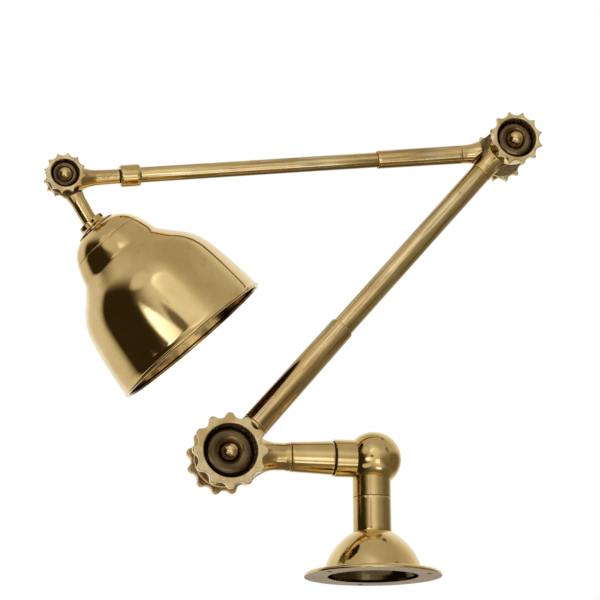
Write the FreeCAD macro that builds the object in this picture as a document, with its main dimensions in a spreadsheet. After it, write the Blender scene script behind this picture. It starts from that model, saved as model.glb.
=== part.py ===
import FreeCAD, Part
import math
import os

import Sketcher

# Driving dimensions of the lamp, in millimetres and degrees.
# Diameters are outside diameters unless the name says bore.
DRIVING = {
    # wall rose and post
    "rose_diameter": 122.0,
    "rose_opening": 80.4,
    "rose_lip": 3.4,
    "rose_fillet": 2.9,
    "rose_dome_foot": 86.6,
    "rose_dome_radius": 56.0,
    "rose_height": 39.4,
    "rose_wall": 2.6,
    "screw_circle": 103.0,
    "screw_bore": 5.0,
    "screw_sink": 9.6,
    "screw_count": 3,
    "post_diameter": 34.0,
    "post_top": 70.0,
    "post_spigot": 27.0,
    "post_bore": 23.0,
    "shoulder": 8.0,
    # ball elbow and short arm
    "elbow_height": 105.0,
    "elbow_ball": 49.0,
    "elbow_ball_offset": 2.2,
    "elbow_bore": 11.0,
    "elbow_collar": 33.6,
    "collar_reach": 34.5,
    "short_arm": 131.5,
    "short_sleeve_reach": 73.8,
    "short_sleeve_wide": 30.4,
    "short_sleeve_narrow": 26.8,
    "short_sleeve_bore": 21.6,
    "short_neck": 26.2,
    "swivel_nipple": 13.0,
    "nipple_bore": 8.5,
    "nipple_grip": 18.0,
    "locknut_flats": 18.0,
    "locknut_height": 5.0,
    "swivel_gap": 0.5,
    "twist_gap": 1.1,
    "washer_thickness": 1.2,
    # lower arm
    "lower_arm": 399.3,
    "lower_arm_angle": 48.8,
    "lower_arm_drop": 1.4,
    "lower_arm_top_drop": 2.7,
    "lower_tube": 19.6,
    "lower_sleeve_wide": 25.0,
    "lower_sleeve_narrow": 22.8,
    "lower_sleeve_start": 38.0,
    "lower_sleeve_end": 160.0,
    "lower_neck_end": 38.0,
    "sleeve_lap": 20.0,
    "tube_wall": 1.5,
    # upper arm
    "upper_arm": 415.6,
    "upper_arm_angle": 186.7,
    "upper_arm_drop": 3.8,
    "upper_arm_tip_drop": 2.9,
    "upper_tube": 13.9,
    "upper_sleeve_wide": 17.2,
    "upper_sleeve_narrow": 16.6,
    "upper_sleeve_start": 46.0,
    "upper_sleeve_end": 126.0,
    "ferrule_diameter": 20.0,
    "ferrule_length": 18.5,
    "ferrule_crown": 1.3,
    "ferrule_shoulder": 4.0,
    "ferrule_reach": 50.5,
    "tip_gap": 0.9,
    "tip_nipple": 8.0,
    "tip_nipple_bore": 5.0,
    "tip_nipple_grip": 10.0,
    "tip_locknut_flats": 11.0,
    "tip_locknut_height": 3.5,
    "tip_washer_thickness": 0.8,
    # knuckles, shared
    "tooth_count": 12,
    "disc_gap": 1.2,
    "disc_play": 0.1,
    "disc_rim": 4.0,
    "running_fit": 0.1,
    "slip_fit": 0.05,
    "drum_draft": 1.4,
    "edge_break": 0.7,
    # knuckle 1, short arm to lower arm
    "k1_tip": 67.6,
    "k1_root": 58.2,
    "k1_drum": 50.0,
    "k1_recess": 47.8,
    "k1_front_depth": 25.0,
    "k1_front_clear": 43.0,
    "k1_front_turn": 0.6,
    "k1_back_tip": 64.4,
    "k1_back_root": 55.6,
    "k1_back_drum": 46.0,
    "k1_back_recess": 43.6,
    "k1_back_depth": 25.6,
    "k1_back_clear": 35.0,
    "k1_back_turn": 0.2,
    "k1_tooth_round": 3.8,
    "k1_closing": 5.0,
    "k1_arm_way": 14.6,
    "k1_flange": 6.6,
    "k1_recess_depth": 9.0,
    "k1_bolt": 9.0,
    "k1_head": 11.6,
    "k1_head_height": 12.2,
    "k1_washer": 45.0,
    "k1_nut_flats": 14.0,
    # knuckle 2, lower arm to upper arm
    "k2_tip": 50.6,
    "k2_root": 42.6,
    "k2_drum": 37.6,
    "k2_recess": 36.4,
    "k2_front_depth": 32.0,
    "k2_front_clear": 39.0,
    "k2_front_turn": 26.3,
    "k2_back_tip": 50.0,
    "k2_back_root": 42.0,
    "k2_back_drum": 37.0,
    "k2_back_recess": 36.0,
    "k2_back_depth": 32.0,
    "k2_back_clear": 28.0,
    "k2_back_turn": 9.3,
    "k2_tooth_round": 0.6,
    "k2_closing": 3.0,
    "k2_arm_way": 11.0,
    "k2_flange": 6.0,
    "k2_recess_depth": 7.6,
    "k2_bolt": 7.0,
    "k2_head": 11.6,
    "k2_head_height": 9.6,
    "k2_washer": 34.4,
    "k2_nut_flats": 11.0,
    # knuckle 3, arm tip to shade neck
    "k3_tip": 37.6,
    "k3_root": 31.8,
    "k3_drum": 26.4,
    "k3_recess": 25.2,
    "k3_front_depth": 13.5,
    "k3_front_clear": 26.0,
    "k3_front_turn": 16.3,
    "k3_back_tip": 34.0,
    "k3_back_root": 28.8,
    "k3_back_drum": 24.0,
    "k3_back_recess": 22.8,
    "k3_back_depth": 12.8,
    "k3_back_clear": 19.7,
    "k3_back_turn": 6.7,
    "k3_tooth_round": 0.5,
    "k3_closing": 17.0,
    "k3_arm_way": 10.0,
    "k3_flange": 4.2,
    "k3_recess_depth": 5.6,
    "k3_bolt": 5.0,
    "k3_head": 9.6,
    "k3_head_height": 7.4,
    "k3_washer": 23.4,
    "k3_nut_flats": 8.0,
    "washer_clear": 1.4,
    # shade neck and shade
    "neck_angle": -59.1,
    "neck_length": 46.8,
    "neck_lap": 3.0,
    "shade_angle": -48.8,
    "shade_length": 141.6,
    "shade_wall": 1.6,
    "collar_diameter": 24.4,
    "collar_ring": 4.4,
    "collar_height": 8.6,
    "collar_flange": 37.4,
    "collar_well": 17.8,
    "window_width": 3.6,
    "window_height": 2.8,
    "window_count": 6,
    "window_turn": 8.0,
    "cap_seam": 68.4,
    "cap_depth": 15.8,
    "cap_radius": 27.0,
    "waist_diameter": 81.6,
    "waist_reach": 43.0,
    "bell_shoulder": 107.0,
    "bell_shoulder_reach": 57.5,
    "bell_side": 137.6,
    "bell_side_reach": 85.0,
    "bell_mouth": 152.6,
    "rim_bead": 3.6,
    # lampholder
    "holder_nipple": 10.0,
    "holder_nipple_bore": 6.5,
    "holder_cap": 28.0,
    "holder_cap_height": 14.0,
    "holder_skirt": 25.6,
    "holder_skirt_bore": 22.6,
    "holder_skirt_length": 26.0,
    "holder_slot": 2.6,
    "holder_slot_depth": 10.0,
    "holder_ring": 38.0,
    "holder_ring_height": 6.0,
    "plunger_diameter": 3.4,
    "plunger_spacing": 9.0,
    "plunger_reach": 5.0,
}

ROUND = 360.0
EPS = 1e-6

doc = FreeCAD.newDocument("wall_light")
sheet = doc.addObject("Spreadsheet::Sheet", "Sizes")
for line, (alias, amount) in enumerate(DRIVING.items(), 1):
    sheet.set("A%d" % line, alias)
    sheet.set("B%d" % line, str(amount))
    sheet.setAlias("B%d" % line, alias)
doc.recompute()


class Size:
    """A number together with the spreadsheet formula that it comes from."""

    def __init__(self, value, formula=None):
        self.value = float(value)
        self.formula = formula or repr(float(value))

    def joined(self, other, sign, value):
        return Size(value, "(%s %s %s)" % (self.formula, sign, other.formula))

    def __add__(self, other):
        other = size(other)
        return self.joined(other, "+", self.value + other.value)

    def __sub__(self, other):
        other = size(other)
        return self.joined(other, "-", self.value - other.value)

    def __mul__(self, other):
        other = size(other)
        return self.joined(other, "*", self.value * other.value)

    def __truediv__(self, other):
        other = size(other)
        return self.joined(other, "/", self.value / other.value)

    def __radd__(self, other):
        return size(other) + self

    def __rsub__(self, other):
        return size(other) - self

    def __rmul__(self, other):
        return size(other) * self

    def __neg__(self):
        return size(0) - self


def size(thing):
    return thing if isinstance(thing, Size) else Size(thing)


def cosine(angle):
    return Size(math.cos(math.radians(angle.value)), "cos(%s)" % angle.formula)


def sine(angle):
    return Size(math.sin(math.radians(angle.value)), "sin(%s)" % angle.formula)


def root(area):
    return Size(math.sqrt(area.value), "sqrt(%s)" % area.formula)


class Table:
    """The driving dimensions by name, each as a Size."""

    def __getattr__(self, alias):
        return Size(sheet.get(alias), "Sizes." + alias)


D = Table()


class Frame:
    """A place in the plane of the arms: an origin and the direction of local X."""

    def __init__(self, x, z, angle):
        self.x = size(x)
        self.z = size(z)
        self.angle = size(angle)

    def moved(self, along, across=0, turn=None):
        """The frame shifted along local X and local Z, and set to a new angle."""
        along = size(along)
        across = size(across)
        x = self.x + along * cosine(self.angle) - across * sine(self.angle)
        z = self.z + along * sine(self.angle) + across * cosine(self.angle)
        return Frame(x, z, self.angle if turn is None else turn)


UPRIGHT = Frame(0, 0, 0)
ELBOW = Frame(0, D.elbow_height, 180)
KNUCKLE_1 = ELBOW.moved(D.short_arm, 0, 0)
LOWER_ARM = KNUCKLE_1.moved(0, 0, D.lower_arm_angle)
LOWER_AXIS = LOWER_ARM.moved(0, -D.lower_arm_drop)
KNUCKLE_2 = LOWER_AXIS.moved(D.lower_arm, -D.lower_arm_top_drop, D.lower_arm_angle + 180)
UPPER_ARM = KNUCKLE_2.moved(0, 0, D.upper_arm_angle)
UPPER_AXIS = UPPER_ARM.moved(0, D.upper_arm_drop)
KNUCKLE_3 = UPPER_AXIS.moved(D.upper_arm, -D.upper_arm_tip_drop, D.upper_arm_angle - 180)
TIP_AXIS = KNUCKLE_3.moved(0, -D.upper_arm_tip_drop)
SHADE_NECK = KNUCKLE_3.moved(0, 0, D.neck_angle)
SHADE = SHADE_NECK.moved(D.neck_length, 0, D.shade_angle)


# Drawing helpers

def origin_part(body, role):
    """One of the body's own origin planes or axes, found by its role."""
    return [part for part in body.Origin.OriginFeatures if part.Role == role][0]


def new_body(label, frame):
    """An empty body at a frame; local X follows the frame's angle, local Y is the pivot axis."""
    body = doc.addObject("PartDesign::Body", label)
    body.Label = label
    turn = FreeCAD.Rotation(FreeCAD.Vector(0, -1, 0), frame.angle.value)
    body.Placement = FreeCAD.Placement(FreeCAD.Vector(0, 0, 0), turn)
    body.setExpression("Placement.Base.x", frame.x.formula)
    body.setExpression("Placement.Base.z", frame.z.formula)
    body.setExpression("Placement.Rotation.Angle", frame.angle.formula)
    return body


def new_sketch(body, name, role, lift=0, rise=0, slide=0, turn=0, turn_axis=(0, 0, 1)):
    """A sketch on an origin plane, lifted along its normal, shifted along its own Y and X, turned."""
    sketch = body.newObject("Sketcher::SketchObject", name)
    sketch.AttachmentSupport = [(origin_part(body, role), "")]
    sketch.MapMode = "FlatFace"
    sketch.setExpression("AttachmentOffset.Base.z", size(lift).formula)
    sketch.setExpression("AttachmentOffset.Base.y", size(rise).formula)
    sketch.setExpression("AttachmentOffset.Base.x", size(slide).formula)
    turn = size(turn)
    if turn.value:
        spin = FreeCAD.Rotation(FreeCAD.Vector(*turn_axis), turn.value)
        sketch.AttachmentOffset = FreeCAD.Placement(FreeCAD.Vector(0, 0, 0), spin)
        sketch.setExpression("AttachmentOffset.Rotation.Angle", turn.formula)
    return sketch


def hold(sketch, kind, first, second, amount):
    """A dimension bound to its formula."""
    amount = size(amount)
    index = sketch.addConstraint(Sketcher.Constraint(kind, *first, *second, amount.value))
    sketch.setExpression("Constraints[%d]" % index, amount.formula)


def hold_point(sketch, edge, end, x, y):
    hold(sketch, "DistanceX", (-1, 1), (edge, end), x)
    hold(sketch, "DistanceY", (-1, 1), (edge, end), y)


def arc_edge(start, end, radius):
    """An arc between two corners; a positive radius turns left, a negative one right."""
    chord = end - start
    half = chord.Length / 2.0
    rise = math.sqrt(max(radius * radius - half * half, EPS))
    left = FreeCAD.Vector(-chord.y, chord.x, 0).normalize()
    centre = (start + end) / 2.0 + left * math.copysign(rise, radius)
    first, last = (start, end) if radius > 0 else (end, start)
    spoke = first - centre
    begin = math.atan2(spoke.y, spoke.x)
    spoke = last - centre
    finish = math.atan2(spoke.y, spoke.x)
    circle = Part.Circle(centre, FreeCAD.Vector(0, 0, 1), abs(radius))
    return Part.ArcOfCircle(circle, begin, finish)


def outline(sketch, corners, closing=None):
    """A closed outline. A corner is (x, y), or (x, y, radius) when an arc leads to it."""
    corners = [tuple(size(part) for part in corner) for corner in corners]
    if closing is not None:
        corners[0] = corners[0] + (size(closing),)
    count = len(corners)
    points = [FreeCAD.Vector(corner[0].value, corner[1].value, 0) for corner in corners]
    starts = []
    ends = []
    for index in range(count):
        following = corners[(index + 1) % count]
        start = points[index]
        end = points[(index + 1) % count]
        if len(following) == 3:
            radius = following[2]
            edge = sketch.addGeometry(arc_edge(start, end, radius.value), False)
            flip = radius.value < 0
            starts.append((edge, 2 if flip else 1))
            ends.append((edge, 1 if flip else 2))
            bend = Size(-radius.value, "(-%s)" % radius.formula) if flip else radius
            index_of = sketch.addConstraint(Sketcher.Constraint("Radius", edge, bend.value))
            sketch.setExpression("Constraints[%d]" % index_of, bend.formula)
        else:
            edge = sketch.addGeometry(Part.LineSegment(start, end), False)
            starts.append((edge, 1))
            ends.append((edge, 2))
    for index in range(count):
        following = (index + 1) % count
        sketch.addConstraint(Sketcher.Constraint("Coincident", *ends[index], *starts[following]))
        hold_point(sketch, *starts[index], corners[index][0], corners[index][1])


def circle(sketch, x, y, radius):
    x = size(x)
    y = size(y)
    radius = size(radius)
    centre = FreeCAD.Vector(x.value, y.value, 0)
    edge = sketch.addGeometry(Part.Circle(centre, FreeCAD.Vector(0, 0, 1), radius.value), False)
    hold_point(sketch, edge, 3, x, y)
    index = sketch.addConstraint(Sketcher.Constraint("Radius", edge, radius.value))
    sketch.setExpression("Constraints[%d]" % index, radius.formula)


def turn_about(body, name, corners, axis="H_Axis", role="XZ_Plane", rise=0, closing=None):
    """A solid turned about an axis of its own sketch."""
    sketch = new_sketch(body, name + "_outline", role, 0, rise)
    outline(sketch, corners, closing)
    feature = body.newObject("PartDesign::Revolution", name)
    feature.Profile = sketch
    feature.ReferenceAxis = (sketch, [axis])
    feature.Angle = ROUND
    return feature


def groove_about(body, name, corners, axis="H_Axis", role="XZ_Plane", rise=0):
    """A cut turned about an axis of its own sketch."""
    sketch = new_sketch(body, name + "_outline", role, 0, rise)
    outline(sketch, corners)
    feature = body.newObject("PartDesign::Groove", name)
    feature.Profile = sketch
    feature.ReferenceAxis = (sketch, [axis])
    feature.Angle = ROUND
    return feature


def bead_about(body, name, x, radius, thick):
    """A rolled bead: a small circle turned about local X."""
    sketch = new_sketch(body, name + "_outline", "XZ_Plane")
    circle(sketch, x, radius, thick / 2)
    feature = body.newObject("PartDesign::Revolution", name)
    feature.Profile = sketch
    feature.ReferenceAxis = (sketch, ["H_Axis"])
    feature.Angle = ROUND
    return feature


def push_through(body, name, sketch, reverse=False, length=None):
    """A pocket from a sketch, through everything or to a length."""
    pocket = body.newObject("PartDesign::Pocket", name)
    pocket.Profile = sketch
    pocket.Reversed = reverse
    if length is None:
        pocket.Type = "ThroughAll"
    else:
        pocket.Type = "Length"
        pocket.setExpression("Length", size(length).formula)
    return pocket


def repeat_round(body, name, feature, role, count):
    """Copies of a feature set evenly round one of the body's origin axes."""
    pattern = body.newObject("PartDesign::PolarPattern", name)
    pattern.Originals = [feature]
    pattern.Axis = (origin_part(body, role), [""])
    pattern.Angle = ROUND
    pattern.setExpression("Occurrences", count.formula)
    body.Tip = pattern
    return pattern


def hex_prism(label, frame, start, height, flats, bore):
    """A plain hexagon nut along local X."""
    body = new_body(label, frame)
    sketch = new_sketch(body, "hexagon", "YZ_Plane", start)
    corner = flats / 2 / cosine(size(30))
    points = []
    for step in range(6):
        angle = size(60 * step)
        points.append((corner * cosine(angle), corner * sine(angle)))
    outline(sketch, points)
    circle(sketch, 0, 0, bore / 2)
    pad = body.newObject("PartDesign::Pad", "prism")
    pad.Profile = sketch
    pad.setExpression("Length", size(height).formula)
    return body


def tube(label, frame, start, end, outside, bore):
    """A round tube along local X."""
    body = new_body(label, frame)
    rim = [(start, bore / 2), (end, bore / 2), (end, outside / 2), (start, outside / 2)]
    turn_about(body, "wall", rim)
    return body


# Wall rose and post: the outline is (radius, height), turned about the vertical

def wall_rose():
    body = new_body("wall_rose", UPRIGHT)
    outer = D.rose_diameter / 2
    foot = D.rose_dome_foot / 2
    opening = D.rose_opening / 2
    neck = D.post_diameter / 2
    hole = D.post_spigot / 2
    wall = D.rose_wall
    lip = D.rose_lip
    turn_about(body, "dome", [
        (opening, 0),
        (outer, 0),
        (outer, lip / 3),
        (outer - lip / 2, lip, lip * 0.8),
        (foot + D.rose_fillet, lip),
        (foot, lip + D.rose_fillet, -(D.rose_fillet * 1.3)),
        (neck, D.rose_height, D.rose_dome_radius),
        (hole, D.rose_height),
        (hole, D.rose_height - wall),
        (neck, D.rose_height - wall * 1.4),
        (opening, wall, -(D.rose_dome_radius - wall)),
    ], "V_Axis")
    # One countersunk screw hole, turned about its own axis, then repeated round the rose
    bore = D.screw_bore / 2
    sink = D.screw_sink / 2
    sketch = new_sketch(body, "screw_outline", "YZ_Plane", 0, 0, D.screw_circle / 2)
    outline(sketch, [
        (0, -1),
        (bore, -1),
        (bore, lip - (sink - bore)),
        (sink, lip),
        (sink, lip * 2.5),
        (0, lip * 2.5),
    ])
    hole = body.newObject("PartDesign::Groove", "screw_hole")
    hole.Profile = sketch
    hole.ReferenceAxis = (sketch, ["V_Axis"])
    hole.Angle = ROUND
    repeat_round(body, "screw_holes", hole, "Z_Axis", D.screw_count)
    return body


def post():
    body = new_body("post", UPRIGHT)
    outer = D.post_diameter / 2
    foot = D.rose_height - D.rose_wall - 2
    turn_about(body, "barrel", [
        (D.post_bore / 2, foot),
        (D.post_spigot / 2 - D.slip_fit, foot),
        (D.post_spigot / 2 - D.slip_fit, D.rose_height),
        (outer, D.rose_height),
        (outer, D.post_top),
        (D.swivel_nipple / 2 + D.running_fit, D.post_top),
        (D.swivel_nipple / 2 + D.running_fit, D.post_top - D.shoulder),
        (D.post_bore / 2, D.post_top - D.shoulder),
    ], "V_Axis")
    return body


# Swivel fittings: a hollow nipple, a washer and a locknut along local X of a frame

def swivel_set(name, frame, face, shoulder, bury, nipple, bore, flats, height, thick):
    """Fittings that hold two pieces together and let them turn on each other.

    face is where the fixed piece ends, shoulder the thickness that the nipple passes through.
    """
    seat = face + shoulder
    nut = seat + thick + D.disc_play
    end = nut + height + 2
    tube(name + "_nipple", frame, face - bury, end, nipple, bore)
    tube(name + "_washer", frame, seat, seat + thick, flats, nipple + 2 * D.running_fit)
    hex_prism(name + "_locknut", frame, nut, height, flats, nipple + 2 * D.slip_fit)


def ball_elbow():
    body = new_body("ball_elbow", ELBOW)
    ball = D.elbow_ball / 2
    stem = D.post_diameter / 2
    collar = D.elbow_collar / 2
    offset = D.elbow_ball_offset
    hole = D.elbow_bore / 2
    socket = D.swivel_nipple / 2 + D.slip_fit
    drop = D.elbow_height - D.post_top - D.swivel_gap
    crease = root(ball * ball - collar * collar) - offset
    turn_about(body, "ball_and_collar", [
        (-(ball + offset), 0),
        (D.collar_reach, 0),
        (D.collar_reach, collar - D.edge_break),
        (D.collar_reach - D.edge_break, collar),
        (crease, collar),
        (-offset, ball, ball),
    ], closing=ball)
    turn_about(body, "stem", [
        (0, 0),
        (stem, 0),
        (stem, drop),
        (0, drop),
    ], "V_Axis")
    groove_about(body, "collar_bore", [
        (0, 0),
        (D.collar_reach, 0),
        (D.collar_reach, socket),
        (D.collar_reach - D.nipple_grip, socket),
        (D.collar_reach - D.nipple_grip, hole),
        (0, hole),
    ])
    groove_about(body, "stem_bore", [
        (0, 0),
        (hole, 0),
        (hole, drop - D.nipple_grip),
        (socket, drop - D.nipple_grip),
        (socket, drop),
        (0, drop),
    ], "V_Axis")
    return body


def short_arm_sleeve():
    body = new_body("short_arm_sleeve", ELBOW)
    start = D.collar_reach + D.twist_gap
    pass_hole = D.swivel_nipple / 2 + D.running_fit
    turn_about(body, "taper", [
        (start, pass_hole),
        (start + D.shoulder, pass_hole),
        (start + D.shoulder, D.short_sleeve_bore / 2),
        (D.short_sleeve_reach, D.short_sleeve_bore / 2),
        (D.short_sleeve_reach, D.short_sleeve_narrow / 2 - D.edge_break),
        (D.short_sleeve_reach - D.edge_break, D.short_sleeve_narrow / 2),
        (start, D.short_sleeve_wide / 2),
    ])
    return body


# Knuckles: two toothed castings back to back, turning on one bolt

class Casting:
    """One half of a knuckle; side is -1 in front of the arms and 1 behind them."""

    def __init__(self, name, frame, side, prefix):
        back = "_back" if side > 0 else ""
        end = "_back" if side > 0 else "_front"
        self.label = name + end
        self.frame = frame
        self.side = side
        self.tip = getattr(D, prefix + back + "_tip") / 2
        self.root = getattr(D, prefix + back + "_root") / 2
        self.drum = getattr(D, prefix + back + "_drum") / 2
        self.recess = getattr(D, prefix + back + "_recess") / 2
        self.depth = getattr(D, prefix + end + "_depth")
        self.clear = getattr(D, prefix + end + "_clear")
        self.turn = getattr(D, prefix + end + "_turn")
        self.tooth_round = getattr(D, prefix + "_tooth_round")
        self.flange = getattr(D, prefix + "_flange")
        self.sunk = getattr(D, prefix + "_recess_depth")
        self.bolt = getattr(D, prefix + "_bolt") / 2

    def level(self, distance):
        """A distance from the arms' plane, on this casting's side."""
        return size(distance) * self.side


def tooth_gap(body, half):
    """The gap between two teeth: a scallop that runs smoothly into the two rounded tips."""
    pitch = size(180) / D.tooth_count
    soft = half.tooth_round
    tip_x = (half.tip - soft) * cosine(pitch)
    tip_y = (half.tip - soft) * sine(pitch)
    rise = tip_x - half.root
    scallop = (tip_y * tip_y + rise * rise - soft * soft) / (2 * (rise + soft))
    share = soft / (scallop + soft)
    meet_x = tip_x + (half.root + scallop - tip_x) * share
    meet_y = tip_y - tip_y * share
    crown_x = half.tip * cosine(pitch)
    crown_y = half.tip * sine(pitch)
    sketch = new_sketch(body, "tooth_gap_outline", "XZ_Plane", 0, 0, 0, half.turn + pitch)
    outline(sketch, [
        (crown_x, -crown_y),
        (crown_x + 6, -crown_y),
        (crown_x + 6, crown_y),
        (crown_x, crown_y),
        (meet_x, meet_y, -soft),
        (meet_x, -meet_y, scallop),
    ], -soft)
    pocket = push_through(body, "tooth_gap", sketch, half.side < 0)
    repeat_round(body, "teeth", pocket, "Y_Axis", D.tooth_count)


def knuckle_half(half, neck, neck_rise=0):
    """Toothed flange and drum, the neck, the bolt's recess and the cut that clears the other half."""
    body = new_body(half.label, half.frame)
    mate = D.disc_gap / 2
    soft = D.edge_break
    turn_about(body, "flange_and_drum", [
        (0, half.level(mate)),
        (half.drum, half.level(mate)),
        (half.drum + D.drum_draft, half.level(half.depth - half.flange)),
        (half.tip - soft, half.level(half.depth - half.flange)),
        (half.tip, half.level(half.depth - half.flange + soft)),
        (half.tip, half.level(half.depth - soft)),
        (half.tip - soft, half.level(half.depth)),
        (0, half.level(half.depth)),
    ], "V_Axis", "XY_Plane")
    tooth_gap(body, half)
    turn_about(body, "neck", neck, "H_Axis", "XZ_Plane", neck_rise)
    hole = half.bolt + D.running_fit
    floor = half.depth - half.sunk
    groove_about(body, "recess", [
        (0, half.level(0)),
        (hole, half.level(0)),
        (hole, half.level(floor)),
        (half.recess - soft, half.level(floor)),
        (half.recess, half.level(floor + soft)),
        (half.recess, half.level(half.depth - soft)),
        (half.recess + soft, half.level(half.depth)),
        (half.recess + soft, half.level(half.depth + 20)),
        (0, half.level(half.depth + 20)),
    ], "V_Axis", "XY_Plane")
    sketch = new_sketch(body, "clear_outline", "XZ_Plane", -half.level(mate))
    circle(sketch, 0, 0, half.clear)
    push_through(body, "clear_cut", sketch, half.side > 0)
    return body


def arm_way(body, half, angle, drop, way, reach):
    """Flat on a back neck's front side where the other arm's round neck closes against it."""
    above = 40 if angle.value > 0 else -40
    edge = drop + way if angle.value < 0 else -(drop + way)
    sketch = new_sketch(body, "arm_way_outline", "XZ_Plane", D.disc_gap / 2, 0, 0, angle)
    outline(sketch, [(0, edge), (reach, edge), (reach, above), (0, above)])
    push_through(body, "arm_way", sketch, half.side > 0)


def knuckle_1():
    front = Casting("knuckle_1", KNUCKLE_1, -1, "k1")
    end = D.short_arm - D.short_sleeve_reach
    neck = D.short_neck / 2
    spigot = D.short_sleeve_bore / 2 - D.slip_fit
    knuckle_half(front, [
        (22, 0),
        (22, 23.5),
        (end - 13.7, 12.4, 33),
        (end - 5.7, 12.2),
        (end - 1, neck),
        (end, neck - 0.8),
        (end, spigot),
        (end + 10, spigot),
        (end + 10, 0),
    ])
    back = Casting("knuckle_1", LOWER_ARM, 1, "k1")
    end = D.lower_sleeve_start
    neck = D.lower_sleeve_wide / 2
    spigot = D.lower_tube / 2
    body = knuckle_half(back, [
        (14, 0),
        (14, 18),
        (end - 3, neck, 40),
        (end, neck),
        (end, spigot),
        (end + 12, spigot),
        (end + 12, 0),
    ], -D.lower_arm_drop)
    arm_way(body, back, D.k1_closing - D.lower_arm_angle, size(0), D.k1_arm_way, end - 1)


def knuckle_2():
    front = Casting("knuckle_2", KNUCKLE_2, -1, "k2")
    end = D.lower_neck_end
    neck = D.lower_tube / 2
    spigot = neck - D.tube_wall - D.slip_fit
    knuckle_half(front, [
        (5, 0),
        (5, 16.8),
        (end - 8, neck + 0.4, 90),
        (end - 0.4, neck + 0.4),
        (end, neck),
        (end, spigot),
        (end + 12, spigot),
        (end + 12, 0),
    ], -D.lower_arm_top_drop)
    back = Casting("knuckle_2", UPPER_ARM, 1, "k2")
    end = D.upper_sleeve_start
    neck = D.upper_sleeve_wide / 2
    spigot = D.upper_tube / 2
    body = knuckle_half(back, [
        (14, 0),
        (14, 19),
        (end - 4, neck, 46),
        (end, neck),
        (end, spigot),
        (end + 12, spigot),
        (end + 12, 0),
    ], D.upper_arm_drop)
    apart = D.lower_arm_angle + 180 - D.upper_arm_angle
    arm_way(body, back, apart - D.k2_closing, D.lower_arm_top_drop, D.k2_arm_way, end)


def knuckle_3():
    front = Casting("knuckle_3", KNUCKLE_3, -1, "k3")
    end = D.ferrule_reach - D.tip_gap
    socket = D.tip_nipple / 2 + D.slip_fit
    knuckle_half(front, [
        (11, 0),
        (11, 13.4),
        (28, 7.1, 40),
        (end - 1.5, 6.5),
        (end, 6.8),
        (end, socket),
        (end - D.tip_nipple_grip, socket),
        (end - D.tip_nipple_grip, 0),
    ], -D.upper_arm_tip_drop)
    back = Casting("knuckle_3", SHADE_NECK, 1, "k3")
    end = D.neck_length + D.neck_lap
    socket = D.holder_nipple / 2 + D.neck_lap / 2
    body = knuckle_half(back, [
        (9, 0),
        (9, 12),
        (28, 7.2, 45),
        (end, 6.9),
        (end, socket),
        (end - 9, socket),
        (end - 9, 0),
    ])
    apart = D.upper_arm_angle - 180 - D.neck_angle
    arm_way(body, back, apart - D.k3_closing, D.upper_arm_tip_drop, D.k3_arm_way, size(40))


def knuckle_fittings(name, pivot, prefix):
    """Bolt, domed nut, dished washers and friction disc, turned about the pivot axis."""
    bolt = getattr(D, prefix + "_bolt") / 2
    head = getattr(D, prefix + "_head") / 2
    head_height = getattr(D, prefix + "_head_height")
    washer = getattr(D, prefix + "_washer") / 2
    flats = getattr(D, prefix + "_nut_flats")
    front = getattr(D, prefix + "_front_depth") - getattr(D, prefix + "_recess_depth")
    back = getattr(D, prefix + "_back_depth") - getattr(D, prefix + "_recess_depth")
    sheet_metal = size(1.0)
    hollow = bolt + D.running_fit
    # The bolt's domed head rests on the front washer and its shank reaches the nut
    body = new_body(name + "_bolt", pivot)
    top = -(front + sheet_metal)
    crown = head * 0.45
    nut_seat = back + sheet_metal + D.slip_fit
    nut_height = flats * 0.55
    turn_about(body, "bolt", [
        (0, top - head_height),
        (head, top - head_height + crown, (head * head + crown * crown) / (2 * crown)),
        (head, top),
        (bolt, top),
        (bolt, nut_seat + nut_height),
        (0, nut_seat + nut_height),
    ], "V_Axis", "XY_Plane")
    # Dished washers: a flat seat round the bolt and a rounded swell outside it
    corner = flats / 2 / cosine(size(30))
    for label, side, floor, rim, seat in (
        ("_front_washer", -1, front, washer, head),
        ("_back_washer", 1, back, washer * 0.88, corner),
    ):
        body = new_body(name + label, pivot)
        inner = seat + D.washer_clear
        swell = (rim - inner) / 2
        height = swell * 0.5
        bend = (swell * swell + height * height) / (2 * height)
        turn_about(body, "dish", [
            (hollow, size(side) * floor),
            (rim, size(side) * floor),
            (rim, size(side) * (floor + sheet_metal)),
            (inner, size(side) * (floor + sheet_metal), bend * side),
            (hollow, size(side) * (floor + sheet_metal)),
        ], "V_Axis", "XY_Plane")
    # Friction disc, fixed to the front casting
    body = new_body(name + "_friction_disc", pivot)
    rim = getattr(D, prefix + "_back_drum") / 2 - D.disc_rim
    turn_about(body, "disc", [
        (hollow, -(D.disc_gap / 2)),
        (rim, -(D.disc_gap / 2)),
        (rim, D.disc_gap / 2 - D.disc_play),
        (hollow, D.disc_gap / 2 - D.disc_play),
    ], "V_Axis", "XY_Plane")
    # Nut with a hexagon and a domed end
    body = new_body(name + "_nut", pivot)
    sketch = new_sketch(body, "hexagon", "XZ_Plane", -nut_seat)
    outline(sketch, [(corner * cosine(size(60 * step)), corner * sine(size(60 * step))) for step in range(6)])
    circle(sketch, 0, 0, bolt + D.slip_fit)
    pad = body.newObject("PartDesign::Pad", "prism")
    pad.Profile = sketch
    pad.Reversed = True
    pad.setExpression("Length", (nut_height * 0.8).formula)
    dome = flats / 2 - 0.4
    rise = dome * 0.8
    dome_bend = (dome * dome + rise * rise) / (2 * rise)
    turn_about(body, "dome", [
        (bolt + D.slip_fit, nut_seat + nut_height * 0.7),
        (dome, nut_seat + nut_height * 0.7),
        (dome, nut_seat + nut_height),
        (0, nut_seat + nut_height + rise, dome_bend),
        (0, nut_seat + nut_height + D.slip_fit),
        (bolt + D.slip_fit, nut_seat + nut_height + D.slip_fit),
    ], "V_Axis", "XY_Plane")


# Arm sleeves and tubes

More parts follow.
